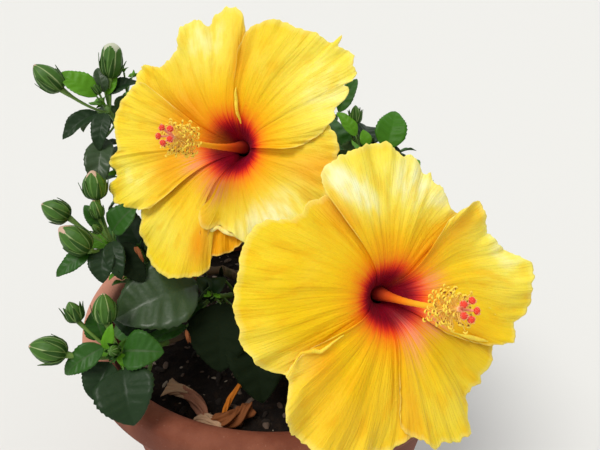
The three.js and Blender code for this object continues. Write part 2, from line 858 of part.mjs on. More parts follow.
function leafPoint(leaf, t, across) {
  const arch = LEAF_ARCH * leaf.length * 4 * t * (1 - t);
  const side = cross(leaf.normal, leaf.axis);
  const fold = Math.abs(across) * LEAF_FOLD;
  const middle = add(mix(leaf.base, leaf.tip, t), mul(leaf.normal, arch));
  return add(middle, add(mul(side, across), mul(leaf.normal, fold)));
}

// The seeded rule. It lists the shoot's twigs, and its leaves with the place where each petiole starts.
function growShoot(name) {
  const shoot = SHOOTS[name];
  const random = seeded(shoot.seed);
  const stem = stemOf(name);
  const twigs = [stem];
  const leaves = [];
  const outward = (point) => unit([point[0], point[1] - 10, (point[2] - 250) * 0.6]);
  const fits = (leaf) => {
    const middle = leafPoint(leaf, 0.5, 0);
    const crowded = leaves.some(
      (other) => size(sub(middle, leafPoint(other.leaf, 0.5, 0))) < LEAF_SPACING * leaf.length,
    );
    const samples = [
      leafPoint(leaf, 0.15, 0),
      middle,
      leafPoint(leaf, 1, 0),
      leafPoint(leaf, 0.4, leaf.width / 2),
      leafPoint(leaf, 0.4, -leaf.width / 2),
    ];
    return !crowded && samples.every((sample) => isFree(sample, name));
  };
  for (const [base, tip, width] of shoot.leaves) {
    const root = nearestOn(stem, base);
    leaves.push({ root, leaf: leafAt(base, tip, width, [0.05, -0.62, 0.78]) });
  }
  for (let k = 0; k < shoot.twigs; k++) {
    const t = 0.12 + (0.75 * (k + 0.5)) / shoot.twigs;
    const start = along(stem, t);
    const axis = directionAt(stem, t);
    const [first, second] = sideAxes(axis);
    const turn = k * GOLDEN + random() * 0.8;
    const side = add(mul(first, Math.cos(turn)), mul(second, Math.sin(turn)));
    const heading = unit(add(add(side, mul(axis, 0.5)), mul(outward(start), 0.5)));
    const reach = Math.min(...shoot.radii) * (0.6 + 0.35 * random());
    const end = add(start, mul(heading, reach));
    const bow = [0, 0, -0.06 * reach];
    const rootRadius = TWIG_SHARE * radiusAt(stem, t);
    const twig = { start, end, bow, radii: [rootRadius, TWIG_TIP_RADIUS] };
    const checked = [0.45, 0.7, 1].map((share) => along(twig, share));
    if (checked.every((point) => isFree(point, name))) twigs.push(twig);
  }
  twigs.forEach((twig, index) => {
    const reach = size(sub(twig.end, twig.start));
    const count = Math.max(3, Math.round(reach / 7));
    for (let j = 0; j < count; j++) {
      const t = 0.1 + (0.88 * (j + 0.7)) / count;
      const root = along(twig, t);
      const axis = directionAt(twig, t);
      const [first, second] = sideAxes(axis);
      const young = t > 0.88 ? 0.7 : 1;
      const grown = LEAF_LENGTHS[0] + (LEAF_LENGTHS[1] - LEAF_LENGTHS[0]) * t;
      const length = grown * (0.8 + 0.35 * random()) * young;
      const droop = [0, 0, -0.25 - 0.3 * random()];
      for (let attempt = 0; attempt < LEAF_ATTEMPTS; attempt++) {
        const turn = j * GOLDEN + index * 1.3 + attempt * 1.1;
        const side = add(mul(first, Math.cos(turn)), mul(second, Math.sin(turn)));
        const heading = unit(add(add(side, mul(axis, 0.35)), mul(outward(root), 0.35)));
        const base = add(root, mul(heading, 5 + 0.16 * length));
        const tip = add(base, mul(unit(add(heading, droop)), length));
        const face = unit(add(mul(outward(base), 0.7), UP));
        const leaf = leafAt(base, tip, length * LEAF_RATIO, face);
        if (!fits(leaf)) continue;
        leaves.push({ root, leaf });
        break;
      }
    }
  });
  return { twigs, leaves };
}

function nearestOn(limb, point) {
  let best = 0.3;
  for (let t = 0.3; t <= 0.97; t += 0.03)
    if (size(sub(point, along(limb, t))) < size(sub(point, along(limb, best)))) best = t;
  return along(limb, best);
}

// A leaf in one closed body: a three-sided petiole from inside its twig, then the blade, a six-sided
// outline folded at its midrib, thickest there and thin at its margin.
function leafSolid({ root, leaf }) {
  const side = cross(leaf.normal, leaf.axis);
  const ring = (centre, radius) => [
    add(centre, add(mul(side, radius), mul(leaf.normal, radius / 2))),
    add(centre, add(mul(side, -radius), mul(leaf.normal, radius / 2))),
    add(centre, mul(leaf.normal, -radius)),
  ];
  const corners = [...ring(root, PETIOLE_ROOT_RADIUS), ...ring(leaf.base, PETIOLE_RADIUS), leaf.tip];
  const below = mul(leaf.normal, -LEAF_THICKNESS * leaf.length);
  for (const [t, width] of BLADE_STATIONS) {
    const middle = leafPoint(leaf, t, 0);
    const left = leafPoint(leaf, t, width * leaf.width);
    const right = leafPoint(leaf, t, -width * leaf.width);
    corners.push(left, middle, right, add(middle, below));
  }
  const [rl, rr, rb, bl, br, bb, tip, l1, m1, r1, b1, l2, m2, r2, b2] = corners.keys();
  const petiole = [
    [rl, rb, rr],
    ...quad(rl, rr, br, bl),
    ...quad(rr, rb, bb, br),
    ...quad(rb, rl, bl, bb),
  ];
  const front = [[bl, br, m1], [bl, m1, l1], [br, r1, m1], [l2, m2, tip], [m2, r2, tip]];
  const back = [[bb, bl, b1], [bl, l1, b1], [bb, b1, br], [br, b1, r1], [l2, tip, b2], [b2, tip, r2]];
  const strips = [
    ...quad(l1, m1, m2, l2),
    ...quad(m1, r1, r2, m2),
    ...quad(b1, l1, l2, b2),
    ...quad(r1, b1, b2, r2),
  ];
  return solidFrom(corners, [...petiole, ...front, ...back, ...strips]);
}

// A flower bud in one closed body: a thin stalk from inside the stem, then an egg with a pointed tip.
function budSolid(stem, [base, tip, radius]) {
  const root = nearestOn(stem, base);
  const axis = unit(sub(tip, base));
  const egg = BUD_PROFILE.map(([share, width]) => [mix(base, tip, share), width * radius]);
  const stalk = [
    [root, STALK_RADII[0]],
    [sub(base, mul(axis, 1.5)), STALK_RADII[1]],
  ];
  return turnedSolid([...stalk, ...egg], axis, BUD_SIDES);
}

function shootSolid(name) {
  const { twigs, leaves } = growShoot(name);
  const solids = twigs.map((twig, i) => limbSolid(twig, i ? 3 : 5, i ? 2 : 3));
  for (const entry of leaves) solids.push(leafSolid(entry));
  for (const bud of SHOOTS[name].buds) solids.push(budSolid(twigs[0], bud));
  return fused([fused(solids).subtract(boughCutter(name))]);
}

// The whole plant in its pot.
const plant = new THREE.Group();
plant.name = "potted_hibiscus";
plant.add(meshOf("pot", potSolid(), LOOKS.pot));
plant.add(meshOf("soil", soilSolid(), LOOKS.soil));
plant.add(meshOf("trunk", trunkSolid(), LOOKS.bark));

let cut = trunkSolid(SEAT);
for (const name of Object.keys(BOUGHS)) {
  const solid = limbSolid(limbs[name], BOUGH_SIDES, BOUGH_STEPS);
  plant.add(meshOf("bough_" + name, fused([solid.subtract(cut)]), LOOKS.bark));
  cut = cut.add(limbSolid(limbs[name], BOUGH_SIDES, BOUGH_STEPS, SEAT));
}

for (const name of Object.keys(SHOOTS)) plant.add(meshOf("shoot_" + name, shootSolid(name), LOOKS.leaf));
for (const name of Object.keys(BLOOMS)) plant.add(meshOf(name, bloomSolid(name), LOOKS.petal));

export default plant;
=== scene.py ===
import math

import bpy
import numpy as np
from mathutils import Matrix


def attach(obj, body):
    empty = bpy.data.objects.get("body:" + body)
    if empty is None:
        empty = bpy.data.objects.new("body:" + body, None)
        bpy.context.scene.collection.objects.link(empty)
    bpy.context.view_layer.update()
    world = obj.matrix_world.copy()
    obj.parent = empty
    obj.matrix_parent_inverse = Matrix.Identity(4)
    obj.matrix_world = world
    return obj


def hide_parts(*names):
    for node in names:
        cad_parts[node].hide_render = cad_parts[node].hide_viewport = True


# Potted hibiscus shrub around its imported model. Lengths are in millimetres, in the model's own frame, until
# a mesh is made. The growth rule, its named sizes and the limbs' places are those of the part's source.
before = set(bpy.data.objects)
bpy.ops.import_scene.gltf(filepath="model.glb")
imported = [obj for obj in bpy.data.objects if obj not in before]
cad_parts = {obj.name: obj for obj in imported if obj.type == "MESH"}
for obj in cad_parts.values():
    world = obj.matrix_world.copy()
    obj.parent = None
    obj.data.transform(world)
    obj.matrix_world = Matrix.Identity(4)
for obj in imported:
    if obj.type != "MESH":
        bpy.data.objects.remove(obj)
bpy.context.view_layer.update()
MM = 0.001

# Pot and soil; the inner wall's places are (height, radius)
POT_HEIGHT = 230
RIM_RADIUS = 140
LIP_HEIGHT = 27
LIP_DEPTH = 13
FOOT_RADIUS = 96
WALL = 8
INNER_WALL = ((160, 111.5), (110, 103.8), (60, 96))
FLOOR_THICKNESS = 9
DRAIN_COUNT = 4
DRAIN_RADIUS = 7
DRAIN_CIRCLE = 58
SOIL_TOP = 203
SOIL_ROUGHNESS = 3
SOIL_RADIUS = 118.3
TRUNK_CLEARING = 24
LITTER_SHARES = (0.48, 0.8)
SEAT = 0.3

# Trunk, boughs, twigs and leaves
TRUNK_FOOT_RADIUS = 11.5
TRUNK_TOP_RADIUS = 7.5
ROOT_FLARE = 8
FLARE_HEIGHT = 16
ROOT_LOBES = 0.16
GOLDEN = 2.39996
STEM_RADII = (2.8, 1.5)
TWIG_SHARE = 0.6
TWIG_TIP_RADIUS = 1.0
LEAF_LENGTHS = (52, 30)
LEAF_FOLD = 0.34
LEAF_ARCH = 0.1
SPACE_MARGIN = 0.05
LIMB_CLEARANCE = 3
LEAF_SPACING = 0.56
LEAF_RATIO = 0.7
LEAF_ATTEMPTS = 4
UP = (0.0, 0.0, 1.0)

# How far leaves keep from the rim inside, outside and above it and from the soil, how low they hang beside
# the pot, and how far they keep from the petals' backs and from the calyx beside and below it
INSIDE_RIM, OUTSIDE_RIM, ABOVE_RIM, ABOVE_SOIL, LOWEST = 8, 4, 2, 3, 120
UNDER_PETALS, BESIDE_CALYX, UNDER_CALYX = 8, 3, 4

# Finer growth: the length that every twig and leaf has, and what the draw may add to it
FINER_TWIG = (12, 12)
FINER_LEAF = (26, 16)
FINER_RATIO = 0.66
FINER_SPACING = 0.36
FINER_LEAVES = 5
INNER_REACH = 0.68

# Blooms
THROAT_DEPTH = 20
THROAT_SPREAD = 11
THROAT_RADIUS = 4
PETAL_LIFT = 3.2
CLAW_WIDTH = 0.9
COLUMN_LENGTH = 60
COLUMN_SAG = 2.2
COLUMN_RADII = (2.7, 1.5)
CALYX_LENGTH = 26
CALYX_RADIUS = 8
PEDICEL_RADII = (1.9, 2.4)
BLOOM_SPACE = 92
STAMENS = 116
STAMEN_SPAN = (0.78, 0.21)
STAMEN_LENGTH = 9
DARK_ANTHERS = 0.4
STIGMA_LENGTH = 6.5
STIGMA_HAIRS = 34
BUD_BRACTS = 7
CALYX_BRACTS = 8

# Seeds of what is drawn here only; a shoot's finer growth and its drawing add to the shoot's own seed
FINER_SEED = 500
DRAWING_SEED = 900
LITTER_SEED = 91
COLUMN_SEED = 31
CALYX_SEED = 37
PETAL_SEEDS = {"bloom_front": 300, "bloom_back": 400}

# How finely the forms are drawn: rings, then sides
POT_SIDES = 144
SOIL_GRID = (76, 200)
LITTER_BITS = 1000
FALLEN_GRID = (70, 64)
TRUNK_GRID = (25, 40)
BOUGH_GRID = (22, 18)
BARK_VOXEL = 0.8
BARK_RELIEF = 0.38
BUD_RINGS = 25
CALYX_GRID = (22, 60)
RINGS, RAYS = 60, 112
FINE_LEAF = 16

# The camera that was fitted to the photograph's pot rim, and the floor, in metres and degrees
CAMERA_PLACE = (0.015, -0.319, 0.457)
CAMERA_DOWN = 28.2
CAMERA_LENS, CAMERA_SENSOR = 31.2, 36
FLOOR_REACH = 20
SKY_STRENGTH = 0.62
# Lights: the way each comes from, its angle, its power and its colour
LIGHTS = {
    "key": ((-0.75, -0.75, 1.7), 0.5, 2.1, (1, 0.97, 0.92)),
    "rear": ((0.5, 1.2, 1.4), 0.9, 0.5, (1, 1, 1)),
}


# Vectors as plain tuples
def add(a, b):
    return (a[0] + b[0], a[1] + b[1], a[2] + b[2])


def sub(a, b):
    return (a[0] - b[0], a[1] - b[1], a[2] - b[2])


def mul(a, k):
    return (a[0] * k, a[1] * k, a[2] * k)


def dot(a, b):
    return a[0] * b[0] + a[1] * b[1] + a[2] * b[2]


def cross(a, b):
    return (a[1] * b[2] - a[2] * b[1], a[2] * b[0] - a[0] * b[2], a[0] * b[1] - a[1] * b[0])


def size(a):
    return math.sqrt(dot(a, a))


def unit(a):
    return mul(a, 1 / (size(a) or 1))


def mix(a, b, t):
    return add(mul(a, 1 - t), mul(b, t))


def seeded(seed):
    """A seeded stream of numbers between 0 and 1, the same one as in the part's source."""
    state = seed
    low = 0xFFFFFFFF

    def draw():
        nonlocal state
        state = (state + 0x6D2B79F5) & low
        t = ((state ^ (state >> 15)) * (1 | state)) & low
        t = ((t + (((t ^ (t >> 7)) * (61 | t)) & low)) & low) ^ t
        return (t ^ (t >> 14)) / 4294967296

    return draw


def side_axes(axis):
    helper = UP if abs(axis[2]) < 0.9 else (1.0, 0.0, 0.0)
    first = unit(cross(axis, helper))
    return first, cross(axis, first)


def around(axes, turn):
    return add(mul(axes[0], math.cos(turn)), mul(axes[1], math.sin(turn)))


class Limb:
    """A tapering limb on a curve from start to end that bulges by bow at its middle."""

    def __init__(self, start, end, bow, radii):
        self.start, self.end, self.bow, self.radii = start, end, bow, radii

    def at(self, t):
        return add(mix(self.start, self.end, t), mul(self.bow, 4 * t * (1 - t)))

    def heading(self, t):
        return unit(sub(self.at(min(1, t + 0.02)), self.at(max(0, t - 0.02))))

    def radius(self, t):
        return self.radii[0] + (self.radii[1] - self.radii[0]) * t

    def nearest(self, point):
        shares = [0.3 + 0.03 * i for i in range(23)]
        return self.at(min(shares, key=lambda t: size(sub(point, self.at(t)))))


TRUNK = Limb((-5, 14, SOIL_TOP + SEAT), (-3, 10, 262), (-7, 0, 0), (TRUNK_FOOT_RADIUS, TRUNK_TOP_RADIUS))
BOUGHS = {
    name: Limb(TRUNK.at(share), tip, bow, radii)
    for name, share, tip, bow, radii in [
        ("upper_left", 0.95, (-40, 20, 284), (-3, 2, -8), (5.0, 3.0)),
        ("mid_left", 0.66, (-40, -10, 256), (-2, -1, -5), (4.6, 2.9)),
        ("lower_left", 0.36, (-36, -34, 235), (0, -1, -3), (4.4, 2.8)),
        ("front_centre", 0.5, (-16, -14, 243), (0, 0, -2), (4.2, 2.8)),
        ("upper_right", 0.88, (24, 18, 288), (2, 2, -6), (4.6, 2.9)),
        ("right", 0.6, (36, 4, 247), (1, 0, -4), (4.5, 2.8)),
        ("front_right", 0.42, (22, -20, 236), (1, -1, -3), (4.2, 2.8)),
        ("back_left", 0.78, (-26, 36, 260), (-1, 2, -5), (4.8, 2.9)),
        ("back", 0.85, (4, 42, 268), (0, 2, -5), (4.8, 2.9)),
        ("back_right", 0.54, (30, 34, 252), (1, 1, -4), (4.5, 2.8)),
        ("top", 0.99, (-7, 26, 294), (0, 4, 0), (4.6, 2.9)),
        ("bloom_front", 0.8, (20, -34, 268), (2, -2, -8), (4.2, 3.0)),
        ("bloom_back", 0.97, (-2, 2, 308), (3, -4, 0), (4.0, 2.9)),
    ]
}


class Bloom:
    """A bloom's throat, the axis that it looks along, its column's heading, its petals and its flaps.
    A petal is the lift of its first and last edge over its neighbours, and its outline as (degrees, radius)
    pairs seen from the front, counter-clockwise from the viewer's right. A flap is a petal's margin that is
    folded under: where it starts, how far it lies behind, and its outline."""

    def __init__(self, throat, axis, column, petals, flaps=()):
        self.throat, self.out, self.column = throat, unit(axis), unit(column)
        self.up = unit(sub(UP, mul(self.out, self.out[2])))
        self.right = cross(self.up, self.out)
        self.petals, self.flaps = petals, flaps

    def place(self, height, radius, turn):
        """Points at a height along the axis from the throat, a radius from the axis and a turn round it."""
        return (
            np.array(self.throat)
            + np.array(self.out) * height[..., None]
            + np.array(self.right) * (radius * np.cos(turn))[..., None]
            + np.array(self.up) * (radius * np.sin(turn))[..., None]
        )


BLOOMS = {
    "bloom_front": Bloom(
        (54, -105, 302),
        (0.301, -0.826, 0.477),
        (0.415, -0.786, 0.458),
        [
            ((-1, 1), [
                (24, 50), (34, 53), (45, 52), (49, 54), (55, 57), (61, 60), (63, 63), (65, 61), (69, 65),
                (73, 68), (77, 68), (81, 71), (84, 74), (89, 74), (98, 73), (106, 71), (113, 68), (116, 60),
            ]),
            ((1, 1), [
                (-43, 30), (-39, 43), (-36, 54), (-32, 63), (-28, 70), (-22, 71), (-18, 76), (-12, 78),
                (-7, 75), (-3, 77), (1, 78), (4, 75), (7, 71), (11, 67), (16, 63), (23, 61), (31, 62),
                (37, 64), (41, 58), (46, 44),
            ]),
            ((1, -1), [
                (-99, 40), (-98, 54), (-96, 62), (-90, 66), (-87, 70), (-83, 75), (-79, 74), (-74, 79),
                (-71, 78), (-67, 80), (-65, 76), (-61, 69), (-58, 64), (-54, 63), (-48, 63), (-42, 62),
                (-34, 61), (-24, 60), (-16, 52),
            ]),
            ((1, -1), [
                (-165, 44), (-163, 56), (-160, 62), (-156, 63), (-153, 67), (-152, 71), (-147, 74),
                (-140, 76), (-134, 76), (-124, 77), (-116, 76), (-109, 74), (-101, 72), (-96, 68),
                (-88, 62), (-80, 54),
            ]),
            ((-1, -1), [
                (101, 46), (108, 56), (116, 59), (123, 61), (129, 61), (134, 63), (139, 71), (143, 74),
                (148, 76), (154, 76), (162, 76), (169, 76), (176, 75), (183, 75), (187, 73), (192, 71),
                (198, 65), (206, 54),
            ]),
        ],
    ),
    "bloom_back": Bloom(
        (-17, -38, 355),
        (-0.34, -0.856, 0.391),
        (-0.463, -0.794, 0.395),
        [
            ((-1, -1), [
                (74, 47), (81, 51), (86, 56), (88, 62), (90, 69), (93, 71), (98, 72), (103, 71), (106, 70),
                (108, 65), (111, 68), (115, 71), (120, 71), (124, 67), (128, 61), (134, 60), (140, 61),
                (143, 64), (147, 71), (152, 73), (156, 69), (162, 57),
            ]),
            ((1, 1), [
                (5, 25), (5, 33), (7, 40), (11, 47), (16, 56), (20, 61), (24, 62), (28, 69), (31, 71),
                (34, 68), (33, 74), (37, 78), (42, 80), (47, 77), (49, 81), (51, 75), (56, 74), (62, 71),
                (68, 70), (75, 69), (80, 66), (85, 62), (87, 56), (88, 47),
            ]),
            ((1, -1), [
                (-101, 30), (-103, 37), (-99, 41), (-96, 44), (-92, 45), (-87, 42), (-82, 44), (-73, 46),
                (-69, 51), (-58, 58), (-42, 64), (-22, 63), (-7, 59), (0, 60), (6, 62), (12, 60), (18, 57),
                (26, 46),
            ]),
            ((-1, -1), [
                (-158, 54), (-152, 60), (-146, 65), (-140, 69), (-134, 73), (-128, 78), (-122, 82),
                (-117, 83), (-112, 83), (-107, 80), (-99, 75), (-94, 71), (-91, 67), (-90, 62), (-91, 57),
                (-93, 50), (-91, 40),
            ]),
            ((1, 1), [
                (152, 59), (155, 66), (160, 69), (165, 73), (170, 76), (177, 78), (183, 75), (188, 72),
                (190, 77), (193, 83), (196, 82), (199, 80), (203, 85), (207, 84), (211, 81), (215, 75),
                (219, 68), (224, 58),
            ]),
        ],
        [
            (34, -2.2, [
                (-100, 42), (-98, 47), (-96, 52), (-94, 56), (-90, 59), (-86, 59), (-80, 56), (-76, 54),
                (-72, 51), (-70, 46),
            ]),
        ],
    ),
}


class Shoot:
    """A leafy shoot: it keeps to an ellipsoid, and in it to what is nearer to its own centre than to any
    other's, measured in radii. Listed leaves are (base, tip, width, kind), buds (base, tip, radius,
    look)."""

    def __init__(self, tip, bow, centre, radii, seed, twigs, fill, leaves=(), buds=()):
        self.tip, self.bow, self.centre, self.radii, self.seed = tip, bow, centre, radii, seed
        self.twigs, self.fill, self.leaves, self.buds = twigs, fill, leaves, buds


SHOOTS = {
    "upper_left": Shoot(
        (-109, 9, 367), (-6, 2, -6), (-96, 20, 340), (62, 54, 66), 3, 3, 9,
        leaves=[
            ((-112, 6, 374), (-139, 0, 390), 17, "bright"),
            ((-109, 12, 375), (-114, 20, 389), 9, "grey"),
            ((-108, 13, 373), (-103, 24, 388), 9, "bright"),
            ((-110, 15, 373), (-90, 22, 380), 10, "dark"),
            ((-113, 6, 364), (-135, -10, 352), 17, "dark"),
            ((-107, 2, 365), (-111, -19, 345), 17, "dark"),
            ((-109, -2, 350), (-113, -29, 324), 22, "grey"),
        ],
        buds=[
            ((-132, 3, 379), (-145, 2, 394), 8, "plain"),
            ((-106, 17, 383), (-103, 25, 403), 7.5, "white"),
            ((-111, 8, 375), (-114, 8, 382), 3, "open"),
        ],
    ),
    "mid_left": Shoot(
        (-98, -52, 301), (-5, -3, -6), (-90, -44, 296), (50, 46, 48), 5, 2, 8,
        leaves=[
            ((-96, -50, 308), (-80, -46, 324), 17, "mid"),
            ((-106, -59, 301), (-128, -72, 290), 16, "mid"),
            ((-100, -57, 301), (-100, -79, 286), 18, "mid"),
            ((-102, -49, 310), (-112, -44, 323), 9, "mid"),
            ((-95, -55, 305), (-88, -71, 289), 14, "dark"),
            ((-95, -51, 300), (-76, -66, 283), 18, "dark"),
        ],
        buds=[
            ((-105, -41, 325), (-107, -35, 341), 7.5, "pink"),
            ((-120, -49, 317), (-134, -49, 326), 7.5, "plain"),
            ((-106, -63, 303), (-121, -61, 317), 8.5, "pink"),
            ((-103, -48, 316), (-105, -46, 327), 4.5, "plain"),
            ((-101, -55, 311), (-103, -58, 317), 3, "open"),
        ],
    ),
    "lower_left": Shoot(
        (-86, -98, 256), (-3, -3, -3), (-82, -84, 254), (54, 52, 42), 7, 2, 10,
        leaves=[
            ((-92, -100, 264), (-115, -116, 256), 22, "mid"),
            ((-90, -101, 262), (-87, -94, 282), 10, "bright"),
            ((-82, -101, 262), (-59, -103, 263), 21, "mid"),
            ((-80, -108, 255), (-71, -131, 238), 31, "dark"),
            ((-90, -101, 254), (-97, -116, 241), 20, "dark"),
            ((-95, -92, 262), (-101, -84, 277), 15, "mid"),
        ],
        buds=[
            ((-92, -91, 273), (-93, -85, 289), 7, "plain"),
            ((-107, -92, 275), (-111, -89, 286), 5.5, "open"),
            ((-111, -105, 263), (-129, -106, 270), 8, "plain"),
            ((-84, -103, 264), (-85, -109, 269), 4, "open"),
        ],
    ),
    "front_centre": Shoot(
        (-40, -56, 266), (-2, 0, -3), (-34, -56, 254), (48, 44, 44), 9, 2, 22,
        leaves=[
            ((-48, -58, 275), (-83, -73, 263), 32, "grey"),
            ((-49, -58, 261), (-70, -70, 255), 17, "mid"),
            # These two leaves under the blooms are painted dark as shade
            ((-38, -56, 260), (-47, -90, 230), 36, "deep"),
            ((-14, -60, 250), (-7, -100, 222), 36, "deep"),
            ((-39, -58, 271), (-49, -55, 283), 12, "bright"),
            ((-39, -58, 271), (-28, -56, 282), 12, "bright"),
            ((-40, -61, 270), (-48, -70, 268), 12, "bright"),
            ((-37, -61, 270), (-27, -69, 268), 12, "bright"),
        ],
    ),
    "upper_right": Shoot(
        (56, 4, 340), (4, -2, -2), (58, 16, 334), (50, 44, 52), 13, 3, 12,
        leaves=[
            ((47, 12, 360), (51, 21, 382), 11, "dark"),
            ((53, 6, 347), (37, 8, 365), 15, "mid"),
            ((57, 4, 343), (63, 9, 355), 11, "bright"),
            ((64, 6, 341), (82, 22, 363), 27, "mid"),
            ((66, 9, 337), (90, 6, 334), 17, "dark"),
        ],
        buds=[((51, 10, 355), (51, 15, 366), 4.5, "open")],
    ),
    "right": Shoot(
        (118, -4, 280), (4, 0, -6), (98, 0, 266), (58, 50, 52), 17, 4, 34,
        buds=[((127, -2, 284), (133, -6, 297), 7, "plain")],
    ),
    "front_right": Shoot((80, -66, 246), (3, -3, -4), (66, -58, 246), (52, 44, 34), 19, 3, 26),
    "back_left": Shoot(
        (-78, 94, 322), (-6, 6, -8), (-64, 78, 302), (62, 58, 62), 23, 5, 40,
        buds=[((-88, 104, 340), (-94, 110, 356), 8, "pink"), ((-100, 96, 326), (-112, 102, 338), 7, "plain")],
    ),
    "back": Shoot(
        (16, 112, 332), (2, 8, -8), (10, 98, 308), (58, 58, 62), 29, 5, 40,
        buds=[((14, 122, 352), (12, 130, 369), 8, "plain"), ((32, 124, 338), (43, 134, 350), 6.5, "pink")],
    ),
    "back_right": Shoot(
        (94, 80, 296), (6, 5, -7), (82, 68, 280), (58, 54, 54), 37, 4, 38,
        buds=[((104, 86, 272), (112, 93, 287), 7.5, "plain")],
    ),
    "top": Shoot(
        (-16, 48, 366), (-2, 3, 0), (-14, 44, 350), (54, 44, 54), 41, 4, 30,
        buds=[((-30, 66, 374), (-36, 74, 388), 6.5, "plain")],
    ),
}

# Listed leaves carried closer to the photograph once the shoot has grown around them: the leaf's number in
# its shoot, then (base, tip, width, kind)
PLACED_FACE = (0.05, -0.62, 0.78)
REFINED = {
    "upper_left": {
        0: ((-112, 6, 374), (-134, 7, 388), 15, "bright"),
        4: ((-113, 6, 364), (-133, -9, 352), 12, "dark"),
        5: ((-107, 2, 365), (-110, -14, 346), 12, "dark"),
        6: ((-109, -2, 350), (-109, -29, 325), 17, "grey"),
    },
    "mid_left": {
        1: ((-106, -59, 301), (-125, -70, 290), 11, "mid"),
        2: ((-100, -57, 301), (-98, -73, 288), 15, "dark"),
        4: ((-95, -55, 305), (-88, -71, 289), 12, "dark"),
        # Painted dark as shade
        5: ((-95, -51, 300), (-76, -66, 283), 17, "deep"),
    },
    "lower_left": {
        0: ((-92, -100, 264), (-113, -110, 254), 14, "mid"),
        1: ((-90, -101, 262), (-87, -97, 277), 7, "bright"),
        3: ((-80, -109, 257), (-71, -132, 240), 31, "dark"),
        4: ((-90, -101, 254), (-97, -116, 241), 20, "dark"),
        8: ((-83, -103, 262), (-79, -108, 257), 5, "bright"),
    },
    "front_centre": {
        0: ((-47, -57, 276), (-92, -79, 267), 42, "grey"),
        1: ((-54, -68, 252), (-80, -76, 246), 9, "mid"),
        # Painted dark as shade
        2: ((-34, -57, 262), (-32, -89, 235), 37, "deep"),
        4: ((-39, -58, 271), (-47, -58, 281), 10, "dark"),
        5: ((-39, -58, 271), (-30, -57, 280), 10, "dark"),
        6: ((-39, -60, 271), (-43, -63, 271), 4, "bright"),
        7: ((-37, -60, 271), (-33, -64, 271), 4, "bright"),
    },
    "upper_right": {
        0: ((40, 12, 362), (52, 23, 382), 10, "mid"),
        1: ((51, 3, 349), (39, 11, 363), 9, "bright"),
        2: ((58, 3, 342), (56, 8, 352), 8, "bright"),
        3: ((71, 4, 340), (79, 22, 361), 20, "fresh"),
    },
}
# Leaves and twigs drawn in to a share of their length, where the photograph shows none
DRAWN_IN = {
    "upper_left": {13: 0.55, 16: 0.6, 18: 0.5, 21: 0.5},
    "mid_left": {8: 0.6, 10: 0.45},
    "lower_left": {7: 0.6},
    "upper_right": {4: 0.7, 13: 0.3},
    "back_right": {12: 0.5, 18: 0.4},
}
TWIGS_DRAWN_IN = {"front_centre": {2: 0.45}}

# Dried bits caught among the leaves: (base, tip, width)
DRIED = {
    "mid_left": [((-82, -57, 302), (-76, -62, 297), 2.5), ((-80, -58, 303), (-76, -63, 295), 2.2)],
    "front_centre": [
        ((-51, -83, 262), (-48, -87, 255), 2.4),
        ((-50, -84, 262), (-49, -89, 257), 1.8),
        ((-50, -47, 275), (-54, -54, 270), 3),
    ],
}


def throat_height(radius):
    return THROAT_DEPTH * np.tanh(np.maximum(radius - THROAT_RADIUS, 0) / THROAT_SPREAD)


def continued(name, tip, bow, radii):
    """A stem or a bloom's twig that goes on from the tip of its bough."""
    bough = BOUGHS[name]
    return Limb(sub(bough.end, bough.heading(1)), tip, bow, radii)


def pedicel(name):
    bloom = BLOOMS[name]
    end = add(bloom.throat, mul(bloom.out, -CALYX_LENGTH))
    return continued(name, end, mul(BOUGHS[name].heading(1), 6), PEDICEL_RADII)


PEDICELS = {name: pedicel(name) for name in BLOOMS}
LIMBS = [TRUNK, *BOUGHS.values(), *PEDICELS.values()]
LIMB_POINTS = np.array([limb.at(i / 12) for limb in LIMBS for i in range(13)])
LIMB_RADII = np.array([limb.radius(i / 12) for limb in LIMBS for i in range(13)])


def in_radii(point, shoot):
    x, y, z = sub(point, shoot.centre)
    return math.sqrt((x / shoot.radii[0]) ** 2 + (y / shoot.radii[1]) ** 2 + (z / shoot.radii[2]) ** 2)


def in_bloom(point, bloom):
    offset = sub(point, bloom.throat)
    height = dot(offset, bloom.out)
    radius = size(sub(offset, mul(bloom.out, height)))
    petals = radius < BLOOM_SPACE and throat_height(radius) - UNDER_PETALS < height < BLOOM_SPACE
    beside = radius < CALYX_RADIUS + BESIDE_CALYX
    return petals or (beside and -CALYX_LENGTH - UNDER_CALYX < height < THROAT_DEPTH)


def is_free(point, name):
    own = in_radii(point, SHOOTS[name])
    if own > 1:
        return False
    if any(in_radii(point, space) < own + SPACE_MARGIN for other, space in SHOOTS.items() if other != name):
        return False
    if any(in_bloom(point, bloom) for bloom in BLOOMS.values()):
        return False
    distance = np.sqrt(((LIMB_POINTS - point) ** 2).sum(1)) - LIMB_RADII
    if distance.min() < LIMB_CLEARANCE:
        return False
    off_axis = math.hypot(point[0], point[1])
    if off_axis < RIM_RADIUS - LIP_DEPTH - INSIDE_RIM:
        return point[2] > SOIL_TOP + SOIL_ROUGHNESS + ABOVE_SOIL
    return point[2] > (POT_HEIGHT + ABOVE_RIM if off_axis < RIM_RADIUS + OUTSIDE_RIM else LOWEST)


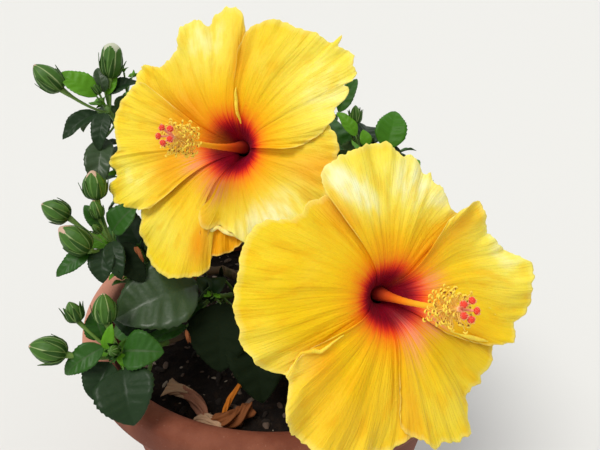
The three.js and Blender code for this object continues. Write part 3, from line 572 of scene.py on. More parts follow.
class Leaf:
    """A leaf from base to tip, its width, the way its upper face looks, and its kind of green."""

    def __init__(self, root, base, tip, width, face, kind):
        self.root, self.base, self.tip, self.width, self.kind = root, base, tip, width, kind
        self.axis = unit(sub(tip, base))
        self.normal = unit(sub(face, mul(self.axis, dot(face, self.axis))))
        self.side = cross(self.normal, self.axis)
        self.length = size(sub(tip, base))

    def point(self, t, across):
        rise = LEAF_ARCH * self.length * 4 * t * (1 - t) + abs(across) * LEAF_FOLD
        return add(mix(self.base, self.tip, t), add(mul(self.side, across), mul(self.normal, rise)))

    def fits(self, name, leaves, spacing):
        middle = self.point(0.5, 0)
        if any(size(sub(middle, other.point(0.5, 0))) < spacing * self.length for other in leaves):
            return False
        half = self.width / 2
        places = [(0.15, 0), (0.5, 0), (1, 0), (0.4, half), (0.4, -half)]
        return all(is_free(self.point(t, across), name) for t, across in places)


def outward(point):
    return unit((point[0], point[1] - 10, (point[2] - 250) * 0.6))


def headed(start, axis, turn, along, out):
    """A way off a limb: to its side at a turn round it, partly along it and partly outward."""
    side = around(side_axes(axis), turn)
    return unit(add(add(side, mul(axis, along)), mul(outward(start), out)))


def hung_leaf(root, heading, droop, length, stalk, ratio, lean):
    """A leaf on a stalk, its tip drooping from the heading and its face turned up and outward."""
    base = add(root, mul(heading, stalk))
    tip = add(base, mul(unit(add(heading, droop)), length))
    return Leaf(root, base, tip, length * ratio, unit(add(mul(outward(base), lean), UP)), "mid")


def grow_shoot(name):
    """The source's rule: the shoot's twigs and leaves, in the same order and with the same draws."""
    shoot = SHOOTS[name]
    draw = seeded(shoot.seed)
    stem = continued(name, shoot.tip, shoot.bow, STEM_RADII)
    twigs = [stem]
    leaves = [Leaf(stem.nearest(leaf[0]), *leaf[:3], PLACED_FACE, leaf[3]) for leaf in shoot.leaves]
    for k in range(shoot.twigs):
        t = 0.12 + (0.75 * (k + 0.5)) / shoot.twigs
        start = stem.at(t)
        heading = headed(start, stem.heading(t), k * GOLDEN + draw() * 0.8, 0.5, 0.5)
        reach = min(shoot.radii) * (0.6 + 0.35 * draw())
        radii = (TWIG_SHARE * stem.radius(t), TWIG_TIP_RADIUS)
        twig = Limb(start, add(start, mul(heading, reach)), (0, 0, -0.06 * reach), radii)
        if all(is_free(twig.at(share), name) for share in (0.45, 0.7, 1)):
            twigs.append(twig)
    for index, twig in enumerate(twigs):
        count = max(3, math.floor(size(sub(twig.end, twig.start)) / 7 + 0.5))
        for j in range(count):
            t = 0.1 + (0.88 * (j + 0.7)) / count
            root, axis = twig.at(t), twig.heading(t)
            young = 0.7 if t > 0.88 else 1
            grown = LEAF_LENGTHS[0] + (LEAF_LENGTHS[1] - LEAF_LENGTHS[0]) * t
            length = grown * (0.8 + 0.35 * draw()) * young
            droop = (0, 0, -0.25 - 0.3 * draw())
            for attempt in range(LEAF_ATTEMPTS):
                heading = headed(root, axis, j * GOLDEN + index * 1.3 + attempt * 1.1, 0.35, 0.35)
                leaf = hung_leaf(root, heading, droop, length, 5 + 0.16 * length, LEAF_RATIO, 0.7)
                if young < 1:
                    leaf.kind = "bright"
                elif in_radii(leaf.tip, shoot) < 0.72:
                    leaf.kind = "dark"
                if leaf.fits(name, leaves, LEAF_SPACING):
                    leaves.append(leaf)
                    break
    return twigs, leaves


def grow_finer(name, twigs, leaves):
    """Carries the rule on: side twigs from the shoot's twigs, with smaller leaves, within the same reach.
    A shoot with listed leaves is filled behind its middle only."""
    shoot = SHOOTS[name]
    draw = seeded(shoot.seed + FINER_SEED)
    side_twigs = []
    room = shoot.fill
    for index, twig in enumerate(twigs[::-1]):
        count = max(2, round(size(sub(twig.end, twig.start)) / 11))
        for k in range(count):
            t = 0.22 + 0.74 * (k + 0.5) / count
            start = twig.at(t)
            heading = headed(start, twig.heading(t), k * GOLDEN + index * 0.9 + draw(), 0.6, 0.45)
            length = FINER_TWIG[0] + FINER_TWIG[1] * draw()
            radii = (min(1.1, TWIG_SHARE * twig.radius(t)), 0.6)
            finer = Limb(start, add(start, mul(heading, length)), (0, 0, 0.05 * length), radii)
            if shoot.leaves and finer.end[1] < shoot.centre[1]:
                continue
            if is_free(finer.at(0.6), name) and is_free(finer.end, name):
                side_twigs.append(finer)
    for index, twig in enumerate(side_twigs + twigs):
        for j in range(FINER_LEAVES):
            last = j == FINER_LEAVES - 1
            t = 0.3 + 0.66 * (j + draw() * 0.6) / FINER_LEAVES
            root, axis = twig.at(t), twig.heading(t)
            length = (FINER_LEAF[0] + FINER_LEAF[1] * draw()) * (0.62 if last else 1)
            droop = (0, 0, -0.1 - 0.4 * draw())
            tone = draw()
            if room <= 0:
                continue
            for attempt in range(3):
                heading = headed(root, axis, j * GOLDEN + index * 1.7 + attempt * 1.3, 0.5, 0.3)
                leaf = hung_leaf(root, heading, droop, length, 3 + 0.12 * length, FINER_RATIO, 0.8)
                depth = in_radii(leaf.tip, shoot)
                if last and tone < 0.7:
                    leaf.kind = "bright"
                elif depth < 0.7 or tone < 0.3:
                    leaf.kind = "dark"
                elif tone > 0.8:
                    leaf.kind = "grey"
                if shoot.leaves and (leaf.point(0.5, 0)[1] < shoot.centre[1] or depth > INNER_REACH):
                    continue
                if leaf.fits(name, leaves, FINER_SPACING):
                    leaves.append(leaf)
                    room -= 1
                    break
    return side_twigs


def linked(name, data):
    """A new object in the scene."""
    thing = bpy.data.objects.new(name, data)
    bpy.context.scene.collection.objects.link(thing)
    return thing


class Piece:
    """Gathers points in millimetres, faces of three or four corners, a material number for each face and
    named numbers for each point, and makes one mesh object of them."""

    def __init__(self):
        self.points, self.faces, self.kinds, self.values, self.count = [], [], [], {}, 0

    def add(self, points, faces, kinds=0, **values):
        points = np.asarray(points, float).reshape(-1, 3)
        faces = np.asarray(faces, int)
        if faces.shape[1] == 3:
            faces = np.column_stack([faces, np.full(len(faces), -1)])
        self.faces.append(np.where(faces < 0, -1, faces + self.count))
        self.kinds.append(np.broadcast_to(np.asarray(kinds, int), len(faces)))
        self.points.append(points)
        for name, value in values.items():
            self.values.setdefault(name, []).append(np.broadcast_to(np.asarray(value, float), len(points)))
        self.count += len(points)

    def object(self, name, materials, slot, replaced, smooth=True):
        faces = np.concatenate(self.faces)
        used = faces >= 0
        mesh = bpy.data.meshes.new(name)
        mesh.vertices.add(self.count)
        mesh.vertices.foreach_set("co", (np.concatenate(self.points) * MM).ravel())
        mesh.loops.add(int(used.sum()))
        mesh.loops.foreach_set("vertex_index", faces[used])
        mesh.polygons.add(len(faces))
        totals = used.sum(1)
        mesh.polygons.foreach_set("loop_start", np.concatenate([[0], np.cumsum(totals)[:-1]]))
        mesh.polygons.foreach_set("material_index", np.concatenate(self.kinds))
        mesh.polygons.foreach_set("use_smooth", np.full(len(faces), smooth))
        mesh.update(calc_edges=True)
        for key, parts in self.values.items():
            attribute = mesh.attributes.new(key, "FLOAT", "POINT")
            attribute.data.foreach_set("value", np.concatenate(parts))
        for material in materials:
            mesh.materials.append(material)
        mesh.validate()
        thing = linked(name, mesh)
        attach(thing, "root")
        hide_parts(*replaced)
        return thing


def circle(sides):
    """The turns of a ring's points."""
    return 2 * np.pi * np.arange(sides) / sides


def ring(reach, turn, height):
    """Points round the Z axis."""
    return np.stack(np.broadcast_arrays(reach * np.cos(turn), reach * np.sin(turn), float(height)), -1)


def grid_faces(rows, columns, wrap=False):
    """Quads of a grid of points, rows by columns, closed round each row if wrap."""
    i, j = np.meshgrid(np.arange(rows - 1), np.arange(columns if wrap else columns - 1), indexing="ij")
    k = (j + 1) % columns
    a, b = i * columns + j, i * columns + k
    return np.stack([a, b, b + columns, a + columns], -1).reshape(-1, 4)


def boundary(rows, columns):
    """The points round a grid's edge, in order."""
    top = np.arange(columns)
    right = np.arange(1, rows) * columns + columns - 1
    bottom = (rows - 1) * columns + np.arange(columns - 2, -1, -1)
    left = np.arange(rows - 2, 0, -1) * columns
    return np.concatenate([top, right, bottom, left])


def triangles(quads):
    """Each quad as two triangles, split from its first corner to its third."""
    return np.stack([quads[:, [0, 1, 2]], quads[:, [0, 2, 3]]], 1).reshape(-1, 3)


def closed_faces(rows, sides):
    """Quads between rings, and at each end a fan to one of the two points that follow the rings."""
    j = np.arange(sides)
    k = (j + 1) % sides
    last, low, none = (rows - 1) * sides, np.full(sides, rows * sides), np.full(sides, -1)
    fans = [np.stack([k, j, low, none], -1), np.stack([last + j, last + k, low + 1, none], -1)]
    return np.concatenate([grid_faces(rows, sides, wrap=True), *fans])


def sheet_faces(rows, columns):
    """Triangles of a thin closed sheet: the upper grid, the lower grid split along the same diagonals, so
    that it never comes through the upper one, and the strip that joins their edges."""
    upper = triangles(grid_faces(rows, columns))
    lower = upper[:, ::-1] + rows * columns
    edge = boundary(rows, columns)
    after = np.roll(edge, -1)
    rim = triangles(np.stack([after, edge, edge + rows * columns, after + rows * columns], -1))
    return upper, lower, rim


def frames(points):
    """Two unit vectors square to a line of points at each point, turned as little as may be."""
    points = np.asarray(points, float)
    heading = np.gradient(points, axis=0)
    heading /= np.linalg.norm(heading, axis=1, keepdims=True)
    first = np.array(side_axes(tuple(heading[0]))[0])
    firsts = []
    for way in heading:
        first = first - way * first.dot(way)
        first = first / np.linalg.norm(first)
        firsts.append(first)
    firsts = np.array(firsts)
    return firsts, np.cross(heading, firsts)


def add_sheet(piece, upper, lower, tones, under=0, **values):
    """A thin closed sheet between two grids of points. tones are the upper quads' materials."""
    rows, columns = upper.shape[:2]
    faces = sheet_faces(rows, columns)
    kinds = np.full(sum(len(part) for part in faces), under)
    kinds[: len(faces[0])] = np.repeat(np.broadcast_to(tones, (rows - 1, columns - 1)).ravel(), 2)
    points = np.concatenate([upper.reshape(-1, 3), lower.reshape(-1, 3)])
    piece.add(points, np.concatenate(faces), kinds, **values)


def add_tube(piece, points, radii, sides, kinds=0, lobes=None, **values):
    """A closed round tube through a line of points. lobes scales each ring's radius, ring by side."""
    points = np.asarray(points, float)
    first, second = frames(points)
    turn = circle(sides)[None, :, None]
    reach = np.asarray(radii, float)[:, None] * (1 if lobes is None else lobes)
    offset = first[:, None] * np.cos(turn) + second[:, None] * np.sin(turn)
    rings = points[:, None] + offset * np.broadcast_to(reach, (len(points), sides))[..., None]
    for key, value in values.items():
        if np.ndim(value):
            along = np.repeat(np.asarray(value, float), sides)
            values[key] = np.append(along, [along[0], along[-1]])
    if np.ndim(kinds):
        ends = [np.resize(kinds[0], sides), np.resize(kinds[-1], sides)]
        kinds = np.concatenate([np.asarray(kinds).ravel(), *ends])
    points = np.concatenate([rings.reshape(-1, 3), points[[0, -1]]])
    piece.add(points, closed_faces(len(rings), sides), kinds, **values)


def waves(x, y, seed, spread=(1, 1), count=7):
    """A smooth uneven surface between about -1 and 1: a few seeded sine waves over x and y."""
    draw = seeded(seed)
    total = np.zeros(np.broadcast(x, y).shape)
    for _ in range(count):
        fx, fy, phase = (draw() * 2 - 1) * spread[0], (draw() * 2 - 1) * spread[1], draw() * 2 * math.pi
        total = total + np.sin(x * fx + y * fy + phase)
    return total / math.sqrt(count / 2) / 1.6


def smooth_step(low, high, value):
    t = np.clip((value - low) / (high - low), 0, 1)
    return t * t * (3 - 2 * t)


class Shader:
    """A material around one Principled shader, with short calls for the nodes that feed it."""

    def __init__(self, name, **settings):
        self.material = bpy.data.materials.new(name)
        self.material.use_nodes = True
        self.tree = self.material.node_tree
        self.principled = self.tree.nodes["Principled BSDF"]
        for key, value in settings.items():
            self.put(self.principled.inputs[key.replace("_", " ")], value)

    def put(self, socket, value):
        if isinstance(value, bpy.types.NodeSocket):
            self.tree.links.new(value, socket)
        elif socket.type == "RGBA":
            socket.default_value = (*value, 1) if len(value) == 3 else value
        else:
            socket.default_value = value

    def node(self, kind, inputs=(), **settings):
        node = self.tree.nodes.new("ShaderNode" + kind)
        for key, value in settings.items():
            setattr(node, key, value)
        for key, value in dict(inputs).items():
            self.put(node.inputs[key], value)
        return node

    def value(self, name):
        return self.node("Attribute", attribute_name=name).outputs["Fac"]

    def place(self):
        return self.node("TexCoord").outputs["Object"]

    def joined(self, x, y, z):
        return self.node("CombineXYZ", {"X": x, "Y": y, "Z": z}).outputs[0]

    def math(self, operation, a, b=0.0, c=0.0):
        return self.node("Math", {0: a, 1: b, 2: c}, operation=operation).outputs[0]

    def times(self, first, *others):
        """The product of some values."""
        for other in others:
            first = self.math("MULTIPLY", first, other)
        return first

    def noise(self, scale, vector=None, detail=3.0, roughness=0.5):
        vector = vector or self.place()
        inputs = {"Vector": vector, "Scale": scale, "Detail": detail, "Roughness": roughness}
        return self.node("TexNoise", inputs).outputs["Fac"]

    def ramp(self, value, stops):
        node = self.node("ValToRGB", {"Fac": value})
        elements = node.color_ramp.elements
        for _ in stops[2:]:
            elements.new(0.5)
        for element, (place, colour) in zip(elements, stops):
            element.position = place
            element.color = (*colour, 1)
        return node.outputs["Color"]

    def level(self, value, low, high):
        """Stretches a value so that low gives 0 and high gives 1."""
        inputs = {"Value": value, "From Min": low, "From Max": high}
        return self.node("MapRange", inputs, clamp=True).outputs["Result"]

    def over(self, body, colour, *shares):
        """A colour laid over the body's by the product of the shares."""
        node = self.node("Mix", data_type="RGBA")
        for index, value in ((0, self.times(*shares)), (6, body), (7, colour)):
            self.put(node.inputs[index], value)
        return node.outputs[2]

    def bump(self, height, strength, distance):
        inputs = {"Height": height, "Strength": strength, "Distance": distance}
        self.put(self.principled.inputs["Normal"], self.node("Bump", inputs).outputs["Normal"])

    def colour(self, value):
        self.put(self.principled.inputs["Base Color"], value)
        return self.material

    def rough(self, value, low, high):
        self.put(self.principled.inputs["Roughness"], self.math("MULTIPLY_ADD", value, high - low, low))


def terracotta():
    """Matte fired clay: soft mottling, pale bloom near the lip and the foot, painted sunlight on the lip's
    left side, fine pale and dark specks.
    """
    s = Shader("terracotta_matte", IOR=1.45, Specular_IOR_Level=0.35)
    patches, grains = s.noise(22, detail=5, roughness=0.6), s.noise(900, detail=2)
    place = s.node("SeparateXYZ", {"Vector": s.place()}).outputs
    left, height = s.level(place["X"], -0.09, -0.118), place["Z"]
    body = s.ramp(patches, [
        (0.3, (0.13, 0.03, 0.0125)), (0.52, (0.17, 0.042, 0.018)), (0.72, (0.22, 0.06, 0.029)),
    ])
    body = s.over(body, (0.42, 0.18, 0.11), s.level(height, 0.19, 0.232), s.level(patches, 0.42, 0.7), 0.3)
    # Painted sunlight: the upper left of the lip is painted pale pink, as if the sun fell on it.
    body = s.over(body, (0.62, 0.28, 0.19), left, s.level(height, 0.212, 0.226), 0.75)
    body = s.over(body, (0.4, 0.24, 0.17), s.level(height, 0.05, 0.0), s.level(s.noise(60), 0.4, 0.7), 0.35)
    body = s.over(body, (0.6, 0.36, 0.26), s.level(grains, 0.68, 0.76), 0.2)
    body = s.over(body, (0.16, 0.05, 0.03), s.level(grains, 0.36, 0.28), 0.45)
    s.rough(patches, 0.62, 0.86)
    s.bump(s.math("MULTIPLY_ADD", s.noise(420, detail=4), 0.6, grains), 0.35, 0.0006)
    return s.colour(body)


def soil_crumbs():
    s = Shader("potting_soil", Roughness=0.95, Specular_IOR_Level=0.2)
    clods = s.noise(160, detail=6, roughness=0.7)
    s.bump(s.noise(420, detail=6, roughness=0.7), 0.8, 0.002)
    return s.colour(s.ramp(clods, [
        (0.3, (0.003, 0.002, 0.0015)), (0.5, (0.008, 0.0045, 0.003)), (0.72, (0.024, 0.014, 0.008)),
    ]))


def bark():
    s = Shader("shrub_bark", Roughness=0.85)
    stretched = s.node("Mapping", {"Vector": s.place(), "Scale": (1, 1, 0.28)}).outputs[0]
    fibres = s.noise(380, stretched, detail=6, roughness=0.65)
    body = s.ramp(fibres, [
        (0.3, (0.045, 0.028, 0.016)), (0.52, (0.15, 0.1, 0.06)), (0.75, (0.3, 0.23, 0.15)),
    ])
    s.bump(fibres, 0.7, 0.0012)
    return s.colour(s.over(body, (0.12, 0.13, 0.05), s.level(s.noise(70), 0.5, 0.75)))


def plain_plant(name, colour, roughness=0.45, coat=0.0, specular=0.4, grain=260, relief=0.25):
    """A plant's surface in one base colour, which stays in place on joined pieces, with a fine grain."""
    s = Shader(name, Roughness=roughness, Coat_Weight=coat, Coat_Roughness=0.22, Specular_IOR_Level=specular)
    s.bump(s.noise(grain, detail=3), relief, 0.0005)
    return s.colour(colour)


def petal_skin():
    """Yellow petals: a dark red eye with a soft orange edge, forking veins, golden painted shade in the
    folds, orange painted shade in creases and on flaps, painted highlights, and painted light in the throat.
    """
    s = Shader(
        "petal_yellow", Roughness=0.55, Sheen_Weight=0.02, Sheen_Roughness=0.4, Specular_IOR_Level=0.12,
        Subsurface_Weight=0.2, Subsurface_Radius=(1.0, 0.5, 0.05), Subsurface_Scale=0.003,
    )
    radial, angle, petal = s.value("radial"), s.value("spread"), s.value("petal")

    def rays(turns, along, scale=1.0):
        """Noise drawn out along the petal, in so many rays to a radian."""
        return s.noise(scale, s.joined(s.times(angle, turns), s.times(radial, along), petal), detail=2)

    def fork(near, far, low, high):
        """Passes from near to far where the radius goes from low to high."""
        share = s.level(radial, low, high)
        return s.math("ADD", s.times(near, s.math("SUBTRACT", 1.0, share)), s.times(far, share))

    broad = rays(7.0, 0.045, 1.5)
    veins = fork(fork(rays(16.0, 0.02), rays(30.0, 0.03), 14.0, 30.0), rays(58.0, 0.04), 36.0, 60.0)
    line = s.level(s.math("ABSOLUTE", s.math("SUBTRACT", veins, 0.5)), 0.045, 0.0)
    streaks = s.math("MULTIPLY_ADD", s.math("SUBTRACT", rays(34.0, 0.02), 0.5), -6.0, radial)
    reach = s.math("MULTIPLY_ADD", s.math("SUBTRACT", broad, 0.5), -3.0, streaks)
    # The eye's innermost stop is lighter than the next one: painted light in the shaded throat.
    eye = s.ramp(s.math("DIVIDE", reach, 80.0), [
        (0.06, (0.26, 0.0, 0.014)),
        (0.13, (0.2, 0.0, 0.012)),
        (0.16, (0.36, 0.003, 0.013)),
        (0.185, (0.66, 0.025, 0.01)),
        (0.21, (0.84, 0.1, 0.006)),
        (0.245, (0.9, 0.26, 0.004)),
        (0.31, (0.9, 0.42, 0.003)),
        (0.42, (0.885, 0.535, 0.003)),
        (1.0, (0.905, 0.62, 0.008)),
    ])
    outer = s.level(radial, 24.0, 46.0)
    # Random paler patches, raised to the spots of painted highlight that the petals carry
    patches = s.times(s.level(s.noise(16, detail=3), 0.4, 0.7), 0.3)
    patches = s.math("MAXIMUM", s.value("pale"), patches)
    # The painted highlight's strength, higher on the broad rays' ridges, and its pale, near white colour
    light = s.times(s.math("MULTIPLY_ADD", s.level(broad, 0.35, 0.62), 0.25, 0.75), patches)
    shine = s.ramp(light, [(0.6, (0.96, 0.86, 0.15)), (1.0, (0.99, 0.96, 0.55))])
    # The share beyond the eye that lies out of the painted highlight
    outside_highlight = s.times(outer, s.math("MULTIPLY_ADD", light, -0.75, 1.0))
    body = s.over(eye, shine, light, outer)
    # Golden painted shade in the fold valleys, where the broad rays run low
    body = s.over(body, (0.86, 0.4, 0.004), s.level(broad, 0.5, 0.34), outside_highlight, 0.4)
    body = s.over(body, (0.62, 0.38, 0.01), line, outside_highlight, 0.22)
    # Orange painted shade in folds, under curls and on flaps
    body = s.over(body, (0.82, 0.3, 0.003), s.value("warm"))
    body = s.over(body, (0.84, 0.28, 0.19), s.value("haze"), s.level(rays(46.0, 0.015), 0.36, 0.56))
    body = s.over(body, (0.96, 0.86, 0.3), s.level(s.value("margin"), 3.5, 0.3), 0.35)
    s.bump(s.math("MULTIPLY_ADD", veins, 1.4, s.times(s.noise(620, detail=3), 0.55)), 0.52, 0.0011)
    return s.colour(body)


def column_skin():
    """The stamen column: dark red at its root, orange, then yellow where the stamens stand."""
    s = Shader("stamen_column", Roughness=0.5)
    body = s.ramp(s.value("along"), [
        (0.0, (0.16, 0.005, 0.008)),
        (0.13, (0.3, 0.014, 0.008)),
        (0.27, (0.72, 0.09, 0.008)),
        (0.42, (0.93, 0.26, 0.006)),
        (0.62, (0.94, 0.5, 0.02)),
        (0.9, (0.94, 0.58, 0.05)),
        (1.0, (0.93, 0.5, 0.22)),
    ])
    s.bump(s.noise(500), 0.3, 0.0004)
    return s.colour(body)


# Leaf surfaces: base colour, then (roughness, coat, specular level), the kind of the rib, and the darker kind
# that takes its place in the shade under the blooms, as painted shade
LEAF_LOOKS = {
    "dark": ((0.01, 0.03, 0.007), (0.5, 0.06, 0.2), "dark", "deep"),
    "mid": ((0.022, 0.088, 0.007), (0.48, 0.05, 0.2), "vein", "dark"),
    "grey": ((0.026, 0.056, 0.015), (0.46, 0.16, 0.32), "grey", "dark"),
    "bright": ((0.085, 0.25, 0.008), (0.5, 0.03, 0.15), "bright", "mid"),
    # A dark matte green that stands for leaves in shade: painted shade
    "deep": ((0.005, 0.011, 0.003), (0.8, 0.0, 0.1), "deep", "deep"),
    "vein": ((0.035, 0.085, 0.018), (0.5, 0.0, 0.2), "vein", "vein"),
    "under": ((0.07, 0.13, 0.045), (0.65, 0.0, 0.3), "under", "under"),
    "dried": ((0.2, 0.065, 0.022), (0.8, 0.0, 0.15), "dried", "dried"),
    "fresh": ((0.04, 0.15, 0.006), (0.5, 0.02, 0.15), "fresh", "mid"),
}
LEAF_KINDS = list(LEAF_LOOKS)
LEAF_MATERIALS = [
    plain_plant("leaf_" + kind, look[0], *look[1], grain=300, relief=0.65)
    for kind, look in LEAF_LOOKS.items()
]
GREEN_STEM, BROWN_STEM, STALK = 0, 1, 2
STEM_MATERIALS = [
    plain_plant("stem_green", (0.1, 0.2, 0.035), 0.5),
    plain_plant("stem_brown", (0.13, 0.085, 0.045), 0.7),
    plain_plant("bud_stalk", (0.15, 0.27, 0.045), 0.5),
]
BUD_GREEN, BUD_STRIPE, BUD_SEAM, BUD_TIP, BUD_WHITE, BRACT, BRACT_EDGE = range(7)
BUD_MATERIALS = [
    plain_plant("bud_green", (0.045, 0.125, 0.013), 0.5, specular=0.25),
    plain_plant("bud_stripe", (0.09, 0.19, 0.03), 0.5, specular=0.25),
    plain_plant("bud_seam", (0.28, 0.36, 0.15), 0.55, specular=0.25),
    plain_plant("bud_tip", (0.55, 0.37, 0.27), 0.5),
    plain_plant("bud_white", (0.5, 0.52, 0.38), 0.55),
    plain_plant("bract_green", (0.022, 0.07, 0.008), 0.55, specular=0.2),
    plain_plant("bract_edge", (0.12, 0.2, 0.05), 0.55, specular=0.25),
]
BLOOM_MATERIALS = [
    column_skin(),
    plain_plant("filament_yellow", (0.94, 0.6, 0.1), 0.4),
    plain_plant("anther_yellow", (0.94, 0.68, 0.07), 0.8),
    plain_plant("anther_brown", (0.3, 0.12, 0.015), 0.8),
    plain_plant("stigma_red", (0.8, 0.05, 0.02), 0.75),
    plain_plant("stigma_hair", (0.9, 0.36, 0.22), 0.7),
    plain_plant("calyx_green", (0.13, 0.26, 0.06), 0.5),
]


# The pot, a smooth form of revolution with drain holes
def make_pot():
    half_lip = LIP_DEPTH / 2
    under_lip = POT_HEIGHT - LIP_HEIGHT
    wall_top = RIM_RADIUS - LIP_DEPTH
    inner_top = wall_top - 3
    foot = [
        (0, 60), (0, 86), (0, FOOT_RADIUS - 3), (0.6, FOOT_RADIUS - 1.2), (1.8, FOOT_RADIUS - 0.3),
        (3, FOOT_RADIUS),
    ]
    wall = [
        (3 + (under_lip - 3) * i / 24, FOOT_RADIUS + (wall_top - FOOT_RADIUS) * i / 24) for i in range(1, 24)
    ]
    step = [
        (under_lip - 1.2, wall_top - 0.1), (under_lip, wall_top + 0.5), (under_lip + 0.3, RIM_RADIUS - 6),
        (under_lip + 1.2, RIM_RADIUS - 3.4), (under_lip + 3.4, RIM_RADIUS - 1), (under_lip + 6.5, RIM_RADIUS),
        (under_lip + 13, RIM_RADIUS),
    ]
    lip = [
        (POT_HEIGHT - half_lip + half_lip * math.sin(a),
         max(RIM_RADIUS - half_lip - 1.5 + (half_lip + 1.5) * math.cos(a), inner_top))
        for a in np.linspace(0, np.pi, 9)
    ]
    inside = [
        (POT_HEIGHT - 14, inner_top - 1), (under_lip, wall_top - WALL), *INNER_WALL,
        (FLOOR_THICKNESS + 3, FOOT_RADIUS - WALL), (FLOOR_THICKNESS, FOOT_RADIUS - WALL - 3),
        (FLOOR_THICKNESS, 60),
    ]
    profile = foot + wall + step + lip + inside
    angle = circle(POT_SIDES)
    rings = []
    for height, radius in profile:
        thrown = 0.25 * waves(4 * np.cos(angle), 4 * np.sin(angle) + height * 0.02, 71) if height > 4 else 0
        rings.append(ring(radius + thrown, angle, height))
    points = np.concatenate([*rings, [(0, 0, 0), (0, 0, FLOOR_THICKNESS)]])
    piece = Piece()
    piece.add(points, closed_faces(len(profile), POT_SIDES))
    pot = piece.object("pot_shell", [terracotta()], "pot", ["pot"])
    drills = Piece()
    for i in range(DRAIN_COUNT):
        way = 2 * math.pi * (i + 0.5) / DRAIN_COUNT
        x, y = DRAIN_CIRCLE * math.cos(way), DRAIN_CIRCLE * math.sin(way)
        add_tube(drills, [(x, y, -3), (x, y, FLOOR_THICKNESS + 3)], [DRAIN_RADIUS] * 2, 28)
    drill = drills.object("drills", [], "pot", ["pot"])
    cut = pot.modifiers.new("drain_holes", "BOOLEAN")
    cut.operation, cut.object, cut.solver = "DIFFERENCE", drill, "EXACT"
    apply_modifiers(pot)
    bpy.data.objects.remove(drill)
    return pot


def apply_modifiers(thing):
    evaluated = thing.evaluated_get(bpy.context.evaluated_depsgraph_get())
    mesh = bpy.data.meshes.new_from_object(evaluated)
    thing.modifiers.clear()
    thing.data = mesh


# Soil, what lies on it, and the fallen blossoms
def soil_height(x, y):
    """The soil's uneven top: low swells, clods and crumbs, flat under the trunk's foot."""
    away = smooth_step(20, 34, np.hypot(x - TRUNK.start[0], y - TRUNK.start[1]))
    swell = 2.2 * waves(x, y, 81, (0.05, 0.05))
    clods = 1.3 * waves(x, y, 82, (0.35, 0.35), 12) + 0.8 * np.abs(waves(x, y, 83, (0.8, 0.8), 14))
    edge = smooth_step(SOIL_RADIUS - 14, SOIL_RADIUS, np.hypot(x, y))
    return SOIL_TOP + away * (swell + clods) - 3 * edge


def make_soil():
    piece = Piece()
    rings, sides = SOIL_GRID
    angle = circle(sides)
    reach = SOIL_RADIUS * (np.arange(1, rings + 1) / rings)[::-1]
    x, y = reach[:, None] * np.cos(angle), reach[:, None] * np.sin(angle)
    top = np.stack([x, y, soil_height(x, y)], -1)
    low = FLOOR_THICKNESS + SEAT
    base = ring(FOOT_RADIUS - WALL - 2 * SEAT, angle, low)
    ends = [(0, 0, low), (0, 0, float(soil_height(0.0, 0.0)))]
    piece.add(np.concatenate([base, top.reshape(-1, 3), ends]), closed_faces(rings + 1, sides))
    return piece.object("soil_fill", [soil_crumbs()], "soil", ["soil"])


def rock_faces():
    """An octahedron split once: 18 points on the unit ball and 32 faces."""
    points = [(1, 0, 0), (-1, 0, 0), (0, 1, 0), (0, -1, 0), (0, 0, 1), (0, 0, -1)]
    faces = [(0, 2, 4), (2, 1, 4), (1, 3, 4), (3, 0, 4), (2, 0, 5), (1, 2, 5), (3, 1, 5), (0, 3, 5)]
    split, made = [], {}
    for a, b, c in faces:
        halves = []
        for pair in ((a, b), (b, c), (c, a)):
            key = tuple(sorted(pair))
            if key not in made:
                made[key] = len(points)
                points.append(unit(add(points[pair[0]], points[pair[1]])))
            halves.append(made[key])
        ab, bc, ca = halves
        split += [(a, ab, ca), (b, bc, ab), (c, ca, bc), (ab, bc, ca)]
    return np.array(points, float), split


def make_litter():
    """Crumbs, chips and pale grit on the soil."""
    piece = Piece()
    draw = seeded(LITTER_SEED)
    ball, faces = rock_faces()
    for _ in range(LITTER_BITS):
        reach, turn = (SOIL_RADIUS - 6) * math.sqrt(draw()), draw() * 2 * math.pi
        x, y = reach * math.cos(turn), reach * math.sin(turn)
        if math.hypot(x - TRUNK.start[0], y - TRUNK.start[1]) < TRUNK_CLEARING:
            continue
        tone = draw()
        kind = sum(tone >= share for share in LITTER_SHARES)
        length = (0.8 + 2.0 * draw() ** 3) * (1.0 if kind != 2 else 0.7)
        stretch = np.array([length * (1 + draw()), length * (0.7 + 0.3 * draw()), length * 0.55])
        way, tilt = draw() * 2 * math.pi, 0.5 * (draw() - 0.5)
        uneven = waves(ball[:, :1] * 3, ball[:, 1:2] * 3 + ball[:, 2:], int(draw() * 999))
        lump = (ball * (1 + 0.3 * uneven) * stretch) @ turned(way, tilt)
        piece.add(lump + [x, y, float(soil_height(x, y)) + length * 0.25], faces, kind)
    return piece.object("soil_litter", [
        plain_plant("litter_dark", (0.012, 0.007, 0.004), 0.95),
        plain_plant("litter_brown", (0.1, 0.066, 0.048), 0.9),
        plain_plant("litter_pale", (0.26, 0.21, 0.16), 0.9),
    ], "soil", ["soil"], smooth=False)


def turned(way, tilt):
    """A turn about Z after a tilt about Y, as a matrix for rows of points."""
    c, s, ct, st = math.cos(way), math.sin(way), math.cos(tilt), math.sin(tilt)
    return np.array([[ct, 0, -st], [0, 1, 0], [st, 0, ct]]) @ np.array([[c, s, 0], [-s, c, 0], [0, 0, 1]])


# Fallen blossoms: closed end, open end, radius, width of the mouth, how far it stands up, and the materials
# of the roll and the mouth
FALLEN = [
    ((-41, -101), (-69, -75), 3.7, 1.6, 0, 1, 0),
    ((-49, -100), (-32, -108), 3.5, 0.9, 0, 0, 0),
    ((-40, -102), (-16, -91), 4.8, 0.9, 0, 2, 2),
    ((-32, -97), (-19, -80), 1.7, 0.6, 15, 3, 3),
    ((54, 80), (30, 62), 4.6, 1.5, 0, 1, 0),
]


